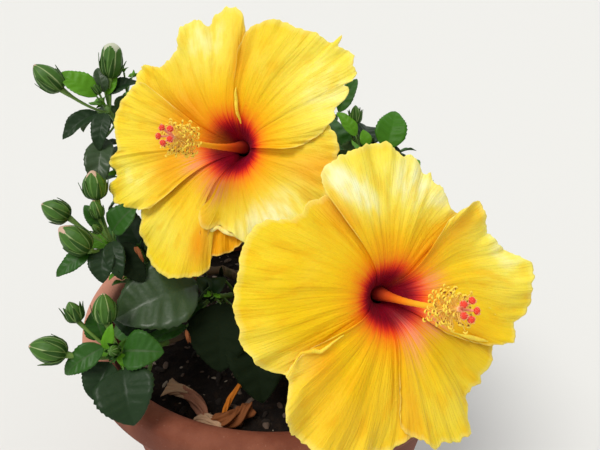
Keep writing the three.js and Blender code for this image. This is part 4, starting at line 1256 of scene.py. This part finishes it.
def make_fallen():
    """Fallen blossoms, dried to creased, wrinkled rolls on the soil, some with a ragged papery mouth."""
    piece = Piece()
    rings, sides = FALLEN_GRID
    t = np.linspace(0, 1, rings)
    turn = circle(sides)
    j, i = np.meshgrid(np.arange(sides), np.arange(rings - 1))
    for number, (closed, opened, radius, flare, lift, roll, mouth) in enumerate(FALLEN):
        way = np.subtract(opened, closed)
        bow = 0.14 * np.sin(math.pi * t) * (1 if number % 2 else -1)
        px = closed[0] + way[0] * t - way[1] * bow
        py = closed[1] + way[1] * t + way[0] * bow
        widths = [0.2, 0.5, 0.85, 1, 0.85, 0.7 + 0.3 * flare, flare]
        outline = np.interp(t, [0, 0.05, 0.2, 0.45, 0.7, 0.88, 1], widths)
        line = np.stack([px, py, SOIL_TOP + 3 + radius * outline * 0.5 + lift * t**2], -1)
        twist = turn + 2.6 * t[:, None] + 0.5 * waves(t[:, None] * 7, turn * 0, 395 + number)
        creases = 0.31 - 0.4 * np.abs(np.sin(2.5 * twist + number)) - 0.22 * np.abs(np.sin(5.5 * twist))
        wrinkles = waves(np.cos(twist) * 7, t[:, None] * 16 + np.sin(twist) * 7, 95 + number, count=12)
        ragged = waves(np.cos(turn) * 5, np.sin(turn) * 5, 295 + number) * smooth_step(0.8, 1, t[:, None])
        kinds = np.where(t[i] > 0.68 + 0.08 * np.cos(5 * turn[j]), mouth, roll)
        lobes = (1 + creases + 0.14 * wrinkles) * (1 + 0.35 * ragged)
        add_tube(piece, line, radius * outline, sides, kinds, lobes)
    skins = [
        plain_plant("blossom_" + tone, colour, roughness, specular=0.2, grain=420, relief=0.7)
        for tone, colour, roughness in [
            ("tan", (0.46, 0.29, 0.18), 0.85),
            ("pink", (0.3, 0.13, 0.08), 0.85),
            ("rust", (0.2, 0.065, 0.02), 0.85),
            ("orange", (0.5, 0.15, 0.012), 0.8),
        ]
    ]
    return piece.object("fallen_blossoms", skins, "soil", ["soil"])


# Trunk and boughs in one skin of bark
def make_bark():
    piece = Piece()
    rings, sides = TRUNK_GRID
    shares = (np.arange(rings) / (rings - 1)) ** 1.4
    line = np.array([TRUNK.at(t) for t in shares])
    ground = line[0, 2]
    flare = np.maximum(0, 1 - (line[:, 2] - ground) / FLARE_HEIGHT) ** 2
    reach = np.array([TRUNK.radius(t) for t in shares]) + ROOT_FLARE * flare
    turn = circle(sides)
    lobes = 1 + ROOT_LOBES * flare[:, None] * np.cos(5 * turn + 0.6)
    points = line[:, None] + ring(reach[:, None] * lobes, turn, 0)
    piece.add(np.concatenate([points.reshape(-1, 3), line[[0, -1]]]), closed_faces(rings, sides))
    for bough in BOUGHS.values():
        shares = np.linspace(0, 1, BOUGH_GRID[0])
        radii = np.array([bough.radius(t) for t in shares]) * (1 + 0.35 * np.exp(-shares * 9))
        add_tube(piece, [bough.at(t) for t in shares], radii, BOUGH_GRID[1])
    names = ["trunk"] + ["bough_" + name for name in BOUGHS]
    skin = piece.object("bark_trunk_and_boughs", [bark()], "bark", names)
    remesh = skin.modifiers.new("skin", "REMESH")
    remesh.mode, remesh.voxel_size = "VOXEL", BARK_VOXEL * MM
    apply_modifiers(skin)
    mesh = skin.data
    points, normals = np.empty((2, len(mesh.vertices) * 3))
    mesh.vertices.foreach_get("co", points)
    mesh.vertices.foreach_get("normal", normals)
    points, normals = points.reshape(-1, 3) / MM, normals.reshape(-1, 3)
    x, y, z = points.T
    furrows = 0.5 * waves(x, y, 61, (2.4, 2.4), 14) + 0.35 * waves(x + y, z, 62, (1.6, 0.5), 14)
    standing = smooth_step(ground + 0.2, ground + 1.5, z)
    points += normals * (BARK_RELIEF * furrows * standing)[:, None]
    points[:, 2] = np.maximum(points[:, 2], ground)
    mesh.vertices.foreach_set("co", (points * MM).ravel())
    mesh.polygons.foreach_set("use_smooth", np.full(len(mesh.polygons), True))
    mesh.update()
    return skin


# Leaves, buds and twigs
LEAF_OUTLINE = (
    (0, 0.05, 0.12, 0.22, 0.34, 0.48, 0.62, 0.76, 0.87, 0.94, 0.98, 1),
    (0.04, 0.34, 0.68, 0.91, 1, 0.98, 0.87, 0.68, 0.46, 0.28, 0.13, 0.015),
)
FINE_SHARES = np.array([-1, -0.8, -0.42, -0.07, 0, 0.07, 0.42, 0.8, 1])
PLAIN_SHARES = np.array([-1, -0.55, 0, 0.55, 1])
BRACT_SHARES = np.array([-1, 0, 1])
BUD_OUTLINE = (
    (0, 0.04, 0.12, 0.26, 0.42, 0.58, 0.72, 0.84, 0.93, 1),
    (0.3, 0.56, 0.82, 0.97, 1, 0.93, 0.78, 0.56, 0.34, 0.1),
)
BLUNT_TIP = ((0, 0.6, 0.75, 0.87, 0.95, 1), (0, 0.93, 0.88, 0.74, 0.5, 0.15))
BUD_GIRTH = 0.88
SEPAL_SIDES = 12
TIP_STARTS = {"plain": (0.9, 0.98), "pink": (0.72, 0.9), "white": (0.68, 0.84), "open": (2, 2)}


def add_leaf(piece, leaf, stations, shares, draw, kinds, toothed=True, curled=1.0):
    """A leaf's blade, a thin closed sheet: side veins sunk and running to its teeth, a rib below its midrib.
    kinds are the materials of its upper face, its rib and its under face."""
    length = leaf.length
    k = np.arange(stations + 1)[:, None]
    share = k / stations
    a = np.abs(shares)[None]
    margin = a == 1
    tooth = (k % 2) * (share > 0.14) * toothed
    t = np.minimum(share + 0.13 * a * np.sin(np.pi * share) + 0.45 / stations * tooth * margin, 1)
    half = np.interp(t, *LEAF_OUTLINE) * leaf.width / 2
    across = shares[None] * half * (1 + 0.06 * tooth * margin)
    cup, phase, droop = 0.6 + 0.6 * draw(), 6.3 * draw(), draw()
    veins = np.cos(np.pi / 2 * k) * np.sin(np.pi * share) * np.sin(np.pi * a) * toothed
    wave = np.sin(9 * share + phase + (shares[None] > 0)) * a**2 * np.sin(np.pi * share)
    rise = LEAF_ARCH * length * 4 * t * (1 - t) + np.abs(across) * LEAF_FOLD * cup
    rise = rise + length * (0.018 * veins + curled * (0.036 * wave - 0.12 * droop * t**3))
    axis, side, normal = (np.array(way) for way in (leaf.axis, leaf.side, leaf.normal))
    upper = np.array(leaf.base) + axis * (length * t)[..., None] + side * across[..., None]
    upper = upper + normal * rise[..., None]
    rib = (a < 0.1) * (0.7 - 0.5 * t) + 0.24
    lower = upper - normal * (rib * min(1, length / 30))[..., None]
    tones = np.full((stations, len(shares) - 1), kinds[0])
    if len(shares) > len(PLAIN_SHARES):
        tones[:, 3:5] = kinds[1]
    add_sheet(piece, upper, lower, tones, kinds[2])


def curve(start, end, bow, count):
    limb = Limb(start, end, bow, (1, 1))
    return [limb.at(i / (count - 1)) for i in range(count)]


def add_bracts(piece, base, axis, reach, radius, draw):
    """Narrow bracts round the foot of a calyx."""
    sides = side_axes(axis)
    for i in range(CALYX_BRACTS):
        side = around(sides, 2 * math.pi * (i + 0.3 * draw()) / CALYX_BRACTS)
        start = add(base, mul(side, radius))
        way = unit(add(axis, mul(side, 0.45 * (0.7 + 0.6 * draw()))))
        tip = add(start, mul(way, reach * (0.8 + 0.4 * draw())))
        bract = Leaf(start, start, tip, max(1.4, reach * 0.17), mul(side, -1), "")
        add_leaf(piece, bract, 6, BRACT_SHARES, draw, [0] * 3, toothed=False)


def add_hugging_bracts(piece, base, axis, length, radius, look, draw):
    """The ring of pointed bracts that hugs a bud's sides, or stands round an open one beyond its tip."""
    sides = side_axes(axis)
    is_open = look == "open"
    s = np.linspace(0, 1, 10)[:, None]
    lanes = np.array([-1, -0.66, 0, 0.66, 1])[None]
    widest = max(1.0, radius * (0.4 if is_open else 0.25))
    half = widest * np.interp(s, [0, 0.15, 0.5, 0.85, 1], [0.8, 1, 0.85, 0.4, 0.04])
    for i in range(BUD_BRACTS):
        side = around(sides, 2 * math.pi * (i + 0.3 * draw()) / BUD_BRACTS)
        across = np.array(cross(side, axis))
        reach = (0.52 + 0.22 * draw()) * (1.3 if is_open else 1)
        flare = radius * (0.08 + 0.34 * draw())
        low = np.minimum(s * reach, 0.45) if is_open else s * reach
        out = radius * np.interp(low, *BUD_OUTLINE) * 1.04 + 0.35 + flare * s**3
        out = out - 0.5 * half * lanes**2 * np.minimum(1, half / radius * 2)
        middle = np.array(base) + np.array(axis) * (s * reach * length)[..., None]
        upper, lower = (
            middle + np.array(side) * (out + thick)[..., None] + across * (half * lanes)[..., None]
            for thick in (0, -0.35)
        )
        add_sheet(piece, upper, lower, [BRACT_EDGE, BRACT, BRACT, BRACT_EDGE], BRACT)


def add_bud(piece, stalks, stem, bud, draw):
    """A bud: a curved stalk, an egg of five folded sepals with pale seams that part at the tip, and bracts.
    bud is (base, tip, radius, look)."""
    base, tip, radius, look = bud
    radius = radius * BUD_GIRTH
    axis, length = unit(sub(tip, base)), size(sub(tip, base))
    root = stem.nearest(base)
    bend = mul(unit(add(axis, UP)), 0.12 * size(sub(base, root)))
    line = curve(root, add(base, mul(axis, 0.4)), mul(bend, -1), 12)
    widths = np.interp(np.linspace(0, 1, 12), [0, 0.8, 1], [0.75, min(1.05, radius * 0.2), radius * 0.3])
    add_tube(stalks, line, widths, 8, STALK)
    rings, sides = BUD_RINGS, 5 * SEPAL_SIDES
    share = np.linspace(0, 1, rings)
    turn = circle(sides)
    ribs = 1 + 0.04 * np.cos(10 * turn) * np.sin(np.pi * share[:, None])
    folds = 1 + 0.09 * np.abs(np.sin(2.5 * turn)) * share[:, None]
    bend = mul(side_axes(axis)[0], 0.08 * length * (draw() - 0.5))
    line = [add(mix(base, tip, t), mul(bend, 4 * t * (1 - t))) for t in share]
    j, i = np.meshgrid(np.arange(sides), np.arange(rings - 1))
    kinds = np.where(j % SEPAL_SIDES == SEPAL_SIDES // 2, BUD_STRIPE, BUD_GREEN)
    kinds = np.where(j % SEPAL_SIDES == 0, BUD_SEAM, kinds)
    sepal = np.abs(np.sin(2.5 * turn[j]))
    seam_start, middle_start = TIP_STARTS[look]
    parted = share[i] > seam_start + (middle_start - seam_start) * sepal
    kinds = np.where(parted, BUD_WHITE if look == "white" else BUD_TIP, kinds)
    outline = np.interp(share, *BUD_OUTLINE) * (0.85 if look == "open" else 1)
    if look == "white":
        outline = np.maximum(outline, np.interp(share, *BLUNT_TIP))
    add_tube(piece, line, radius * outline, sides, kinds, ribs * folds)
    add_hugging_bracts(piece, base, axis, length, radius, look, draw)


def add_twig(piece, limb, sides, brown=0.0, swellings=6):
    """A twig with the slight swellings that leaf scars leave, brown up to a share of its length."""
    count = max(4, swellings * 3)
    share = np.linspace(0, 1, count + 1)
    knots = 1 + 0.16 * (np.arange(count + 1) % 3 == 0)
    kinds = np.where(share[:-1] < brown, BROWN_STEM, GREEN_STEM)
    kinds = np.repeat(kinds[:, None], sides, 1)
    radii = [limb.radius(t) for t in share] * knots
    add_tube(piece, [limb.at(t) for t in share], radii, sides, kinds)


ROSETTE_BRIGHT = 0.4


def add_rosette(piece, twig, draw, shaded, count=4):
    """Small unfolded leaves round a twig's tip."""
    bright = draw() < ROSETTE_BRIGHT
    # In the shaded shoot the rosettes take the darkest green: painted shade
    kind = LEAF_KINDS.index("deep" if shaded else "bright" if bright else "mid")
    axis = twig.heading(1)
    sides = side_axes(axis)
    for i in range(count):
        side = around(sides, i * GOLDEN + draw())
        way = unit(add(axis, mul(side, 0.55 + 0.5 * draw())))
        length = 3.5 + 4.5 * draw()
        tip = add(twig.end, mul(way, length))
        leaf = Leaf(twig.end, twig.end, tip, length * 0.45, add(mul(side, -1), axis), "")
        add_leaf(piece, leaf, 6, PLAIN_SHARES, draw, [kind] * 3, toothed=False)


PETIOLE_RADII = (1.0, 0.8, 0.72, 0.7, 0.68, 0.5)
FOLIAGE = {
    "left": ("upper_left", "mid_left", "lower_left", "front_centre"),
    "right": ("upper_right", "right", "front_right", "top"),
    "back": ("back_left", "back", "back_right"),
}


def redraw(name, twigs, leaves):
    """Carries the shoot's listed leaves to their places in the photograph, and draws some others in."""
    for number, (base, tip, width, kind) in REFINED.get(name, {}).items():
        leaves[number] = Leaf(leaves[number].root, base, tip, width, PLACED_FACE, kind)
    for number, share in DRAWN_IN.get(name, {}).items():
        leaf = leaves[number]
        tip = mix(leaf.base, leaf.tip, share)
        leaves[number] = Leaf(leaf.root, leaf.base, tip, leaf.width * share, leaf.normal, leaf.kind)
    for number, share in TWIGS_DRAWN_IN.get(name, {}).items():
        twig = twigs[number]
        bow, radii = mul(twig.bow, share**2), (twig.radii[0], twig.radius(share))
        twigs[number] = Limb(twig.start, twig.at(share), bow, radii)


def make_foliage(part, names):
    leaves_piece, twigs_piece, buds_piece = Piece(), Piece(), Piece()
    nodes = ["shoot_" + name for name in names]
    for name in names:
        shoot, in_shade = SHOOTS[name], name == "front_centre"
        draw = seeded(shoot.seed + DRAWING_SEED)
        twigs, leaves = grow_shoot(name)
        side_twigs = grow_finer(name, twigs, leaves)
        redraw(name, twigs, leaves)
        for index, twig in enumerate(twigs):
            sides, brown, swellings = (10, 0.55, 9) if index == 0 else (7, 0.2, 6)
            add_twig(twigs_piece, twig, sides, brown, swellings)
            add_rosette(leaves_piece, twig, draw, in_shade)
        for twig in side_twigs:
            add_twig(twigs_piece, twig, 5, swellings=2)
            add_rosette(leaves_piece, twig, draw, in_shade, 3)
        for number, leaf in enumerate(leaves):
            bend = -0.06 * size(sub(leaf.base, leaf.root))
            line = curve(leaf.root, leaf.point(0.03, 0), mul(leaf.normal, bend), len(PETIOLE_RADII))
            add_tube(twigs_piece, line, PETIOLE_RADII, 5, GREEN_STEM)
            # Grown leaves of the front-centre shoot take the darker kind from the table: painted shade under
            # the blooms
            kind = LEAF_LOOKS[leaf.kind][3] if in_shade and number >= len(shoot.leaves) else leaf.kind
            tones = [LEAF_KINDS.index(tone) for tone in (kind, LEAF_LOOKS[kind][2], "under")]
            grid = (24, FINE_SHARES) if leaf.length > FINE_LEAF else (12, PLAIN_SHARES)
            add_leaf(leaves_piece, leaf, *grid, draw, tones)
        for bud in shoot.buds:
            add_bud(buds_piece, twigs_piece, twigs[0], bud, draw)
        for base, tip, width in DRIED.get(name, []):
            bit = Leaf(base, base, tip, width, PLACED_FACE, "dried")
            add_leaf(leaves_piece, bit, 12, PLAIN_SHARES, draw, [LEAF_KINDS.index("dried")] * 3, curled=3)
    leaves_piece.object("leaves_" + part, LEAF_MATERIALS, "foliage", nodes)
    twigs_piece.object("twigs_" + part, STEM_MATERIALS, "foliage", nodes)
    buds_piece.object("buds_" + part, BUD_MATERIALS, "foliage", nodes)


# Blooms: how high a petal's swells, folds, pleats and ruffles stand, how far its edge bends back, and how far
# its frills reach
PETAL_THICKNESS = 0.45
SWELLS = 2.2
FOLDS = 1.15
PLEATS = 0.34
RUFFLES = (1.5, 0.6)
BEND_BACK = 3.2
FRILLS = (0.6, 0.4)
# Places where a bloom's margin curls: (degrees, width, start, rise)
CURLS = {
    "bloom_front": [
        (2, 7, 64, 3), (-150, 7, 58, 7), (52, 7, 44, 3), (-20, 7, 56, -3), (88, 6, 66, 3), (190, 9, 58, 3),
    ],
    "bloom_back": [
        (-98, 11, 24, 6), (-60, 9, 40, -4), (12, 8, 46, 4), (198, 7, 66, -4), (128, 5, 52, 4), (90, 5, 40, 4),
    ],
}
# Soft spots of colour that a bloom's petals share: (degrees, width, radius, depth, strength). The pink haze
# round the eye is the petals' own; the orange spots are painted shade in folds, under curls and where petals
# overlap, and the pale spots are painted highlights.
TINTS = {
    "bloom_front": {
        "haze": [(-72, 16, 20, 7, 0.8), (-38, 14, 24, 6, 0.75), (-80, 8, 30, 8, 0.3), (12, 14, 21, 6, 0.5)],
        # Orange painted shade
        "warm": [
            (92, 16, 27, 8, 0.4), (44, 12, 26, 11, 0.6), (-33, 9, 42, 16, 0.4), (-130, 32, 62, 26, 0.3),
            (-155, 10, 46, 10, 0.45), (117, 6, 50, 12, 0.5), (-92, 5, 56, 22, 0.5), (36, 6, 48, 14, 0.5),
            (111, 4, 44, 8, 0.25),
        ],
        # Pale, near white painted highlights where light falls on and through the petals
        "pale": [
            (112, 7, 69, 10, 0.7), (106, 9, 59, 11, 0.55), (100, 9, 49, 10, 0.45), (93, 10, 41, 8, 0.3),
            (86, 34, 60, 24, 0.42), (67, 19, 54, 20, 0.65), (12, 24, 66, 18, 0.85), (190, 14, 68, 10, 0.4),
            (-70, 12, 64, 14, 0.3), (-150, 7, 68, 6, 0.4), (50, 8, 54, 9, 0.4), (-160, 7, 55, 9, 0.5),
        ],
    },
    "bloom_back": {
        "haze": [(-100, 20, 24, 7, 0.6), (-150, 16, 23, 7, 0.6)],
        # Orange painted shade
        "warm": [
            (166, 22, 26, 18, 0.85), (140, 14, 30, 12, 0.6), (88, 6, 44, 20, 0.6), (-150, 16, 38, 13, 0.55),
            (-97, 7, 54, 14, 0.95), (-8, 10, 44, 14, 0.5), (196, 14, 36, 12, 0.3), (-2, 8, 56, 9, 0.5),
        ],
        # Pale, near white painted highlights where light falls on and through the petals
        "pale": [
            (112, 24, 60, 24, 0.85), (36, 28, 62, 28, 0.8), (-48, 42, 44, 20, 1.0), (-128, 24, 62, 14, 0.5),
            (196, 12, 70, 9, 0.5), (205, 9, 58, 16, 0.5),
        ],
    },
}


def petal_edge(outline, rays):
    """A smooth line through a petal's outline, at even steps of its length: angles in radians, and radii."""
    rows = np.array(outline, float)
    place = np.linspace(0, len(rows) - 1, 600)
    i = np.minimum(place.astype(int), len(rows) - 2)
    f = (place - i)[:, None]
    before, after = rows[np.maximum(i - 1, 0)], rows[np.minimum(i + 2, len(rows) - 1)]
    a, b = rows[i], rows[i + 1]
    cubic = f * (3 * (a - b) + after - before)
    line = a + 0.5 * f * (b - before + f * (2 * before - 5 * a + 4 * b - after + cubic))
    angle, radius = np.radians(line[:, 0]), line[:, 1]
    step = np.hypot(np.diff(radius), radius[1:] * np.diff(angle))
    length = np.concatenate([[0], np.cumsum(step)])
    even = np.linspace(0, length[-1], rays + 1)
    return np.interp(even, length, angle), np.interp(even, length, radius)


def degrees_off(angle, degrees):
    """How far angles in radians lie from one in degrees, the shorter way round."""
    return np.degrees(np.angle(np.exp(1j * (angle - math.radians(degrees)))))


def near(angle, radius, spots):
    """How strongly each point lies in some soft spots, from 0 to 1."""
    total = 0
    for degrees, width, middle, depth, strength in spots:
        off = degrees_off(angle, degrees)
        total = total + strength * np.exp(-((off / width) ** 2) - ((radius - middle) / depth) ** 2)
    return np.clip(total, 0, 1)


def add_petal(piece, name, index, bloom, lifts, outline, inner=THROAT_RADIUS, behind=0.0, warm=0.0):
    """One petal or flap, a thin closed sheet. Its broad waves belong to the whole bloom, so that petals nest,
    and its folds, pleats and ruffled margin are its own."""
    seed = PETAL_SEEDS[name]
    own = seed + 100 * (index + 1)
    edge_angle, edge_reach = petal_edge(outline, RAYS)
    across = np.linspace(-1, 1, RAYS + 1)[None]
    out = (np.linspace(0, 1, RINGS + 1)[:, None]) ** 0.8
    run = np.cumsum(np.hypot(np.gradient(edge_reach), edge_reach * np.gradient(edge_angle)))
    frill = FRILLS[0] * waves(run * 1.1, 0, own) + FRILLS[1] * waves(run * 2.6, 0, own + 1)
    edge_reach = edge_reach + frill * smooth_step(40, 60, edge_reach)
    claw = CLAW_WIDTH + (1 - CLAW_WIDTH) * np.minimum(1, out * 1.5)
    middle = np.interp(0, across[0], edge_angle)
    angle = middle + (edge_angle - middle) * claw
    radius = inner + (edge_reach - inner) * out
    lift = np.where(across < 0, lifts[0], lifts[1])
    flow = (0.14 * waves(out * 2.4, across * 1.3, own + 2) + 0.05 * waves(out * 7, across * 3, own + 3)) * out
    drift, flow = flow, across + flow
    height = throat_height(radius) + PETAL_LIFT * lift * across**2 * np.minimum(1, out * 1.6) + behind
    height = height + SWELLS * waves(np.cos(angle), np.sin(angle) + out * 0.3, seed, (9, 9)) * out**2.2
    height = height - BEND_BACK * smooth_step(48, 84, radius) ** 1.5
    height = height + FOLDS * waves(flow * 15, out * 1.4, own + 4, count=8) * smooth_step(0.1, 0.75, out)
    pleats = waves(flow * 42, out * 4, own + 5, count=9) + 0.5 * waves(flow * 80, out * 9, own + 6, count=9)
    height = height + PLEATS * pleats * smooth_step(0.15, 0.55, out)
    ruffle = RUFFLES[0] * waves(run * 0.5, out * 2, own + 7)
    ruffle = ruffle + RUFFLES[1] * waves(run * 1.2, out * 3, own + 8)
    height = height + ruffle * smooth_step(0.74, 1, out)
    for degrees, width, start, rise in CURLS[name]:
        off = degrees_off(angle, degrees)
        height = height + rise * np.exp(-((off / width) ** 2)) * smooth_step(start, start + 20, radius)
    thick = PETAL_THICKNESS / 2 * (1 + 0.8 * (1 - out))
    spread = edge_angle[-1] - edge_angle[0]
    flank = (1 - np.abs(across)) * abs(spread) * radius + 6 * (1 - smooth_step(26, 38, radius))
    marks = {
        "radial": radius,
        "spread": angle + drift * spread / 2,
        "margin": np.minimum((1 - out) * edge_reach, flank + 0.8),
    }
    # A flap shows its shaded side: orange painted shade over all of it
    if behind:
        marks.update(haze=0 * radius, warm=warm + 0 * radius, pale=0 * radius)
    else:
        marks.update({key: near(angle, radius, spots) for key, spots in TINTS[name].items()})
    values = {key: np.concatenate([value.ravel()] * 2) for key, value in marks.items()}
    upper, lower = bloom.place(height + thick, radius, angle), bloom.place(height - thick, radius, angle)
    add_sheet(piece, upper, lower, 0, petal=index * 3.7, **values)


# Rolled margins: how strong their painted highlight is, then (degrees, radius, thickness) places
ROLLS = {
    "bloom_front": [
        (0.45, [(-160, 62, 0.2), (-163, 57, 0.35), (-166, 52, 0.5), (-164, 47, 1.0), (-161, 44, 0.9),
                (-162, 38, 0.5), (-162, 31, 0.3)]),
        (0.5, [(-40, 31, 0.2), (-39, 34.5, 0.4), (-38, 38, 0.7), (-36.5, 42, 1.1), (-35.5, 46, 1.1),
               (-34.5, 50, 0.7), (-34, 53, 0.2)]),
    ],
    "bloom_back": [
        (0.45, [(86, 31, 0.3), (85, 27, 0.9), (83, 23, 1.0), (78, 18, 0.9), (70, 14, 0.3)]),
        (0.9, [(-103, 37, 0.4), (-98, 43, 0.9), (-93, 46, 1.3), (-87, 43, 1.1), (-82, 45, 1.4),
               (-74, 47, 1.2), (-69, 51, 0.6)]),
    ],
}


def add_roll(piece, bloom, line, pale):
    """A rolled petal margin through places on the bloom's surface, with a painted highlight and a little
    orange painted shade.
    """
    places = np.array(line, float)
    run = np.linspace(0, len(places) - 1, 30)
    degrees, radius, thick = (np.interp(run, np.arange(len(places)), column) for column in places.T)
    turn = np.radians(degrees)
    height = throat_height(radius) + PETAL_LIFT * 0.9 + 0.4 * np.sin(run * 3)
    marks = {"radial": 60, "spread": turn, "margin": 9, "haze": 0, "warm": 0.1, "pale": pale, "petal": 20}
    add_tube(piece, bloom.place(height, radius, turn), thick, 10, **marks)


def add_ball(piece, centre, radii, axis, kind, rings=6, sides=8):
    """A small closed ball, longer or shorter along its axis."""
    turn = np.linspace(0.12, math.pi - 0.12, rings)
    line = [add(centre, mul(axis, -radii[0] * math.cos(a))) for a in turn]
    add_tube(piece, line, radii[1] * np.sin(turn), sides, kind, along=0.0)


def make_column(name, bloom):
    """The column, its stamens with curled anthers, and five stigma pads with fine hairs."""
    piece = Piece()
    draw = seeded(COLUMN_SEED)
    column, filament, anther, anther_dark, stigma, hair_pink = range(6)
    root = add(sub(bloom.throat, mul(bloom.out, 5)), mul(bloom.up, 2))
    tip = add(bloom.throat, mul(bloom.column, COLUMN_LENGTH))
    limb = Limb(root, tip, (0, 0, -COLUMN_SAG), COLUMN_RADII)
    share = np.linspace(0, 1, 44)
    radii = 1.4 + 2.5 * np.exp(-np.maximum(share - 0.1, 0) * 6) - 0.3 * share + 0.07 * np.sin(share * 90)
    add_tube(piece, [limb.at(t) for t in share], radii, 16, column, along=share)
    sides = side_axes(bloom.column)
    for i in range(STAMENS):
        t = STAMEN_SPAN[0] + STAMEN_SPAN[1] * (i + 0.5) / STAMENS
        side = around(sides, i * GOLDEN + 0.5 * draw())
        start, reach = limb.at(t), STAMEN_LENGTH * (0.5 + 0.5 * draw())
        way = unit(add(side, mul(bloom.column, 0.6 * draw() - 0.05)))
        end = add(start, mul(way, reach))
        bow = mul(bloom.column, -0.1 * reach)
        add_tube(piece, curve(start, end, bow, 5), [0.34, 0.22, 0.2, 0.19, 0.18], 5, filament, along=0.0)
        spin = unit(add(cross(way, bloom.column), mul(bloom.column, 1.6 * (draw() - 0.5))))
        ends = [add(end, mul(spin, 0.95 * k)) for k in (-1, 1)]
        crescent = curve(ends[0], ends[1], mul(way, 0.85), 6)
        add_tube(piece, crescent, [0.2, 0.36, 0.42, 0.42, 0.36, 0.2], 6, anther, along=0.0)
        if draw() < DARK_ANTHERS:
            add_ball(piece, add(end, mul(spin, 0.6 * (draw() - 0.5))), (0.4, 0.42), way, anther_dark, 4, 6)
    for i in range(5):
        side = around(sides, 2 * math.pi * i / 5 + 0.3)
        start = sub(limb.end, mul(bloom.column, 1))
        way = unit(add(side, mul(bloom.column, 1.3 + 0.7 * draw())))
        end = add(start, mul(way, STIGMA_LENGTH))
        line = curve(start, end, mul(bloom.column, 0.5), 6)
        add_tube(piece, line, [0.7, 0.55, 0.5, 0.46, 0.46, 0.6], 8, hair_pink, along=0.0)
        crown = add(end, mul(way, 0.7))
        add_ball(piece, crown, (1.25, 1.55), way, stigma, 9, 16)
        for k in range(STIGMA_HAIRS):
            hair = around(side_axes(way), k * GOLDEN)
            out = unit(add(mul(hair, 0.45 + 0.55 * draw()), mul(way, 1.1 * draw() - 0.35)))
            foot = add(crown, mul(out, 1.15))
            add_tube(piece, [foot, add(foot, mul(out, 0.75))], [0.15, 0.08], 4, hair_pink, along=0.0)
    return piece.object(name + "_column", BLOOM_MATERIALS[:6], "petal", [name])


def make_calyx(name, bloom):
    """The green calyx with five pointed lobes, its bracts, and the twig that carries the bloom."""
    piece = Piece()
    draw = seeded(CALYX_SEED)
    rows, sides = CALYX_GRID
    turn = circle(sides)
    lobe = (0.5 + 0.5 * np.cos(5 * turn + 0.5)) ** 0.8
    s = np.linspace(0, 1, rows)[:, None]
    height = -CALYX_LENGTH + s * (CALYX_LENGTH + 1 + 13 * lobe[None])
    outline = ([-CALYX_LENGTH, -23, -18, -12, -5, 1, 14], [3.0, 6.4, 8.2, 8.3, 7.2, 7.0, 9.0])
    funnel = THROAT_RADIUS + THROAT_SPREAD * np.arctanh(np.clip(height / THROAT_DEPTH, 0, 0.92))
    radius = np.maximum(np.interp(height, *outline), (funnel + 1.5) * (height > 0))
    radius = radius + 0.25 * np.cos(10 * turn) * np.sin(np.pi * s)
    layers = [bloom.place(height, radius + thick, turn).reshape(-1, 3) for thick in (0.45, -0.45)]
    outer = grid_faces(rows, sides, wrap=True)
    half, top = rows * sides, (rows - 1) * sides
    inner = outer[:, ::-1] + half
    j = np.arange(sides)
    k = (j + 1) % sides
    rim = np.stack([top + j, top + k, half + top + k, half + top + j], -1)
    foot = np.stack([k, j, half + j, half + k], -1)
    piece.add(np.concatenate(layers), np.concatenate([outer, inner, rim, foot]))
    base = add(bloom.throat, mul(bloom.out, -CALYX_LENGTH))
    add_bracts(piece, add(base, mul(bloom.out, 1.5)), bloom.out, 17, 4.5, draw)
    limb = PEDICELS[name]
    share = np.linspace(0, 1, 26)
    joint = 1 + 0.35 * np.exp(-(((share - 0.78) / 0.03) ** 2)) + 0.7 * smooth_step(0.94, 1, share)
    line = [limb.at(t) for t in share]
    line[-1] = add(line[-1], mul(bloom.out, 1.0))
    add_tube(piece, line, [limb.radius(t) for t in share] * joint, 12, 1)
    return piece.object(name + "_calyx", [BLOOM_MATERIALS[6], STEM_MATERIALS[0]], "foliage", [name])


def make_bloom(name, bloom):
    piece = Piece()
    for index, (lifts, outline) in enumerate(bloom.petals):
        add_petal(piece, name, index, bloom, lifts, outline)
    for index, (inner, behind, outline) in enumerate(bloom.flaps):
        # Flaps carry orange painted shade at 0.75
        add_petal(piece, name, index + 5, bloom, (0, 0), outline, inner, behind, 0.75)
    for pale, line in ROLLS[name]:
        add_roll(piece, bloom, line, pale)
    piece.object(name + "_petals", [PETAL], "petal", [name])
    make_column(name, bloom)
    make_calyx(name, bloom)


# The camera of the photograph, a pale floor and soft light
def make_camera():
    data = bpy.data.cameras.new("camera")
    data.lens, data.sensor_width = CAMERA_LENS, CAMERA_SENSOR
    camera = linked("camera", data)
    camera.location = CAMERA_PLACE
    camera.rotation_euler = (math.radians(90 - CAMERA_DOWN), 0, 0)
    bpy.context.scene.camera = camera


def make_light(name, way, width, power, colour):
    """Soft light from far away, spread over an angle of the given width."""
    data = bpy.data.lights.new(name, "SUN")
    data.angle, data.energy, data.color = width, power, colour
    light = linked(name, data)
    light.location = way
    way = unit(way)
    light.rotation_euler = (math.acos(way[2]), 0, math.atan2(way[0], -way[1]))


def make_stage():
    far = FLOOR_REACH
    mesh = bpy.data.meshes.new("floor")
    mesh.from_pydata([(-far, -far, 0), (far, -far, 0), (far, far, 0), (-far, far, 0)], [], [(0, 1, 2, 3)])
    floor = linked("floor", mesh)
    mesh.materials.append(Shader("floor_paint", Roughness=0.9).colour((0.7, 0.7, 0.685)))
    world = bpy.data.worlds.new("studio")
    bpy.context.scene.world = world
    world.use_nodes = True
    studio = world.node_tree.nodes["Background"].inputs
    studio["Color"].default_value = (0.93, 0.94, 0.94, 1)
    studio["Strength"].default_value = SKY_STRENGTH
    for name, light in LIGHTS.items():
        make_light(name, *light)


make_camera()
make_stage()
make_pot()
make_soil()
make_litter()
make_fallen()
make_bark()
PETAL = petal_skin()
for part, names in FOLIAGE.items():
    make_foliage(part, names)
for name, bloom in BLOOMS.items():
    make_bloom(name, bloom)
bpy.context.scene.view_settings.view_transform = "Standard"
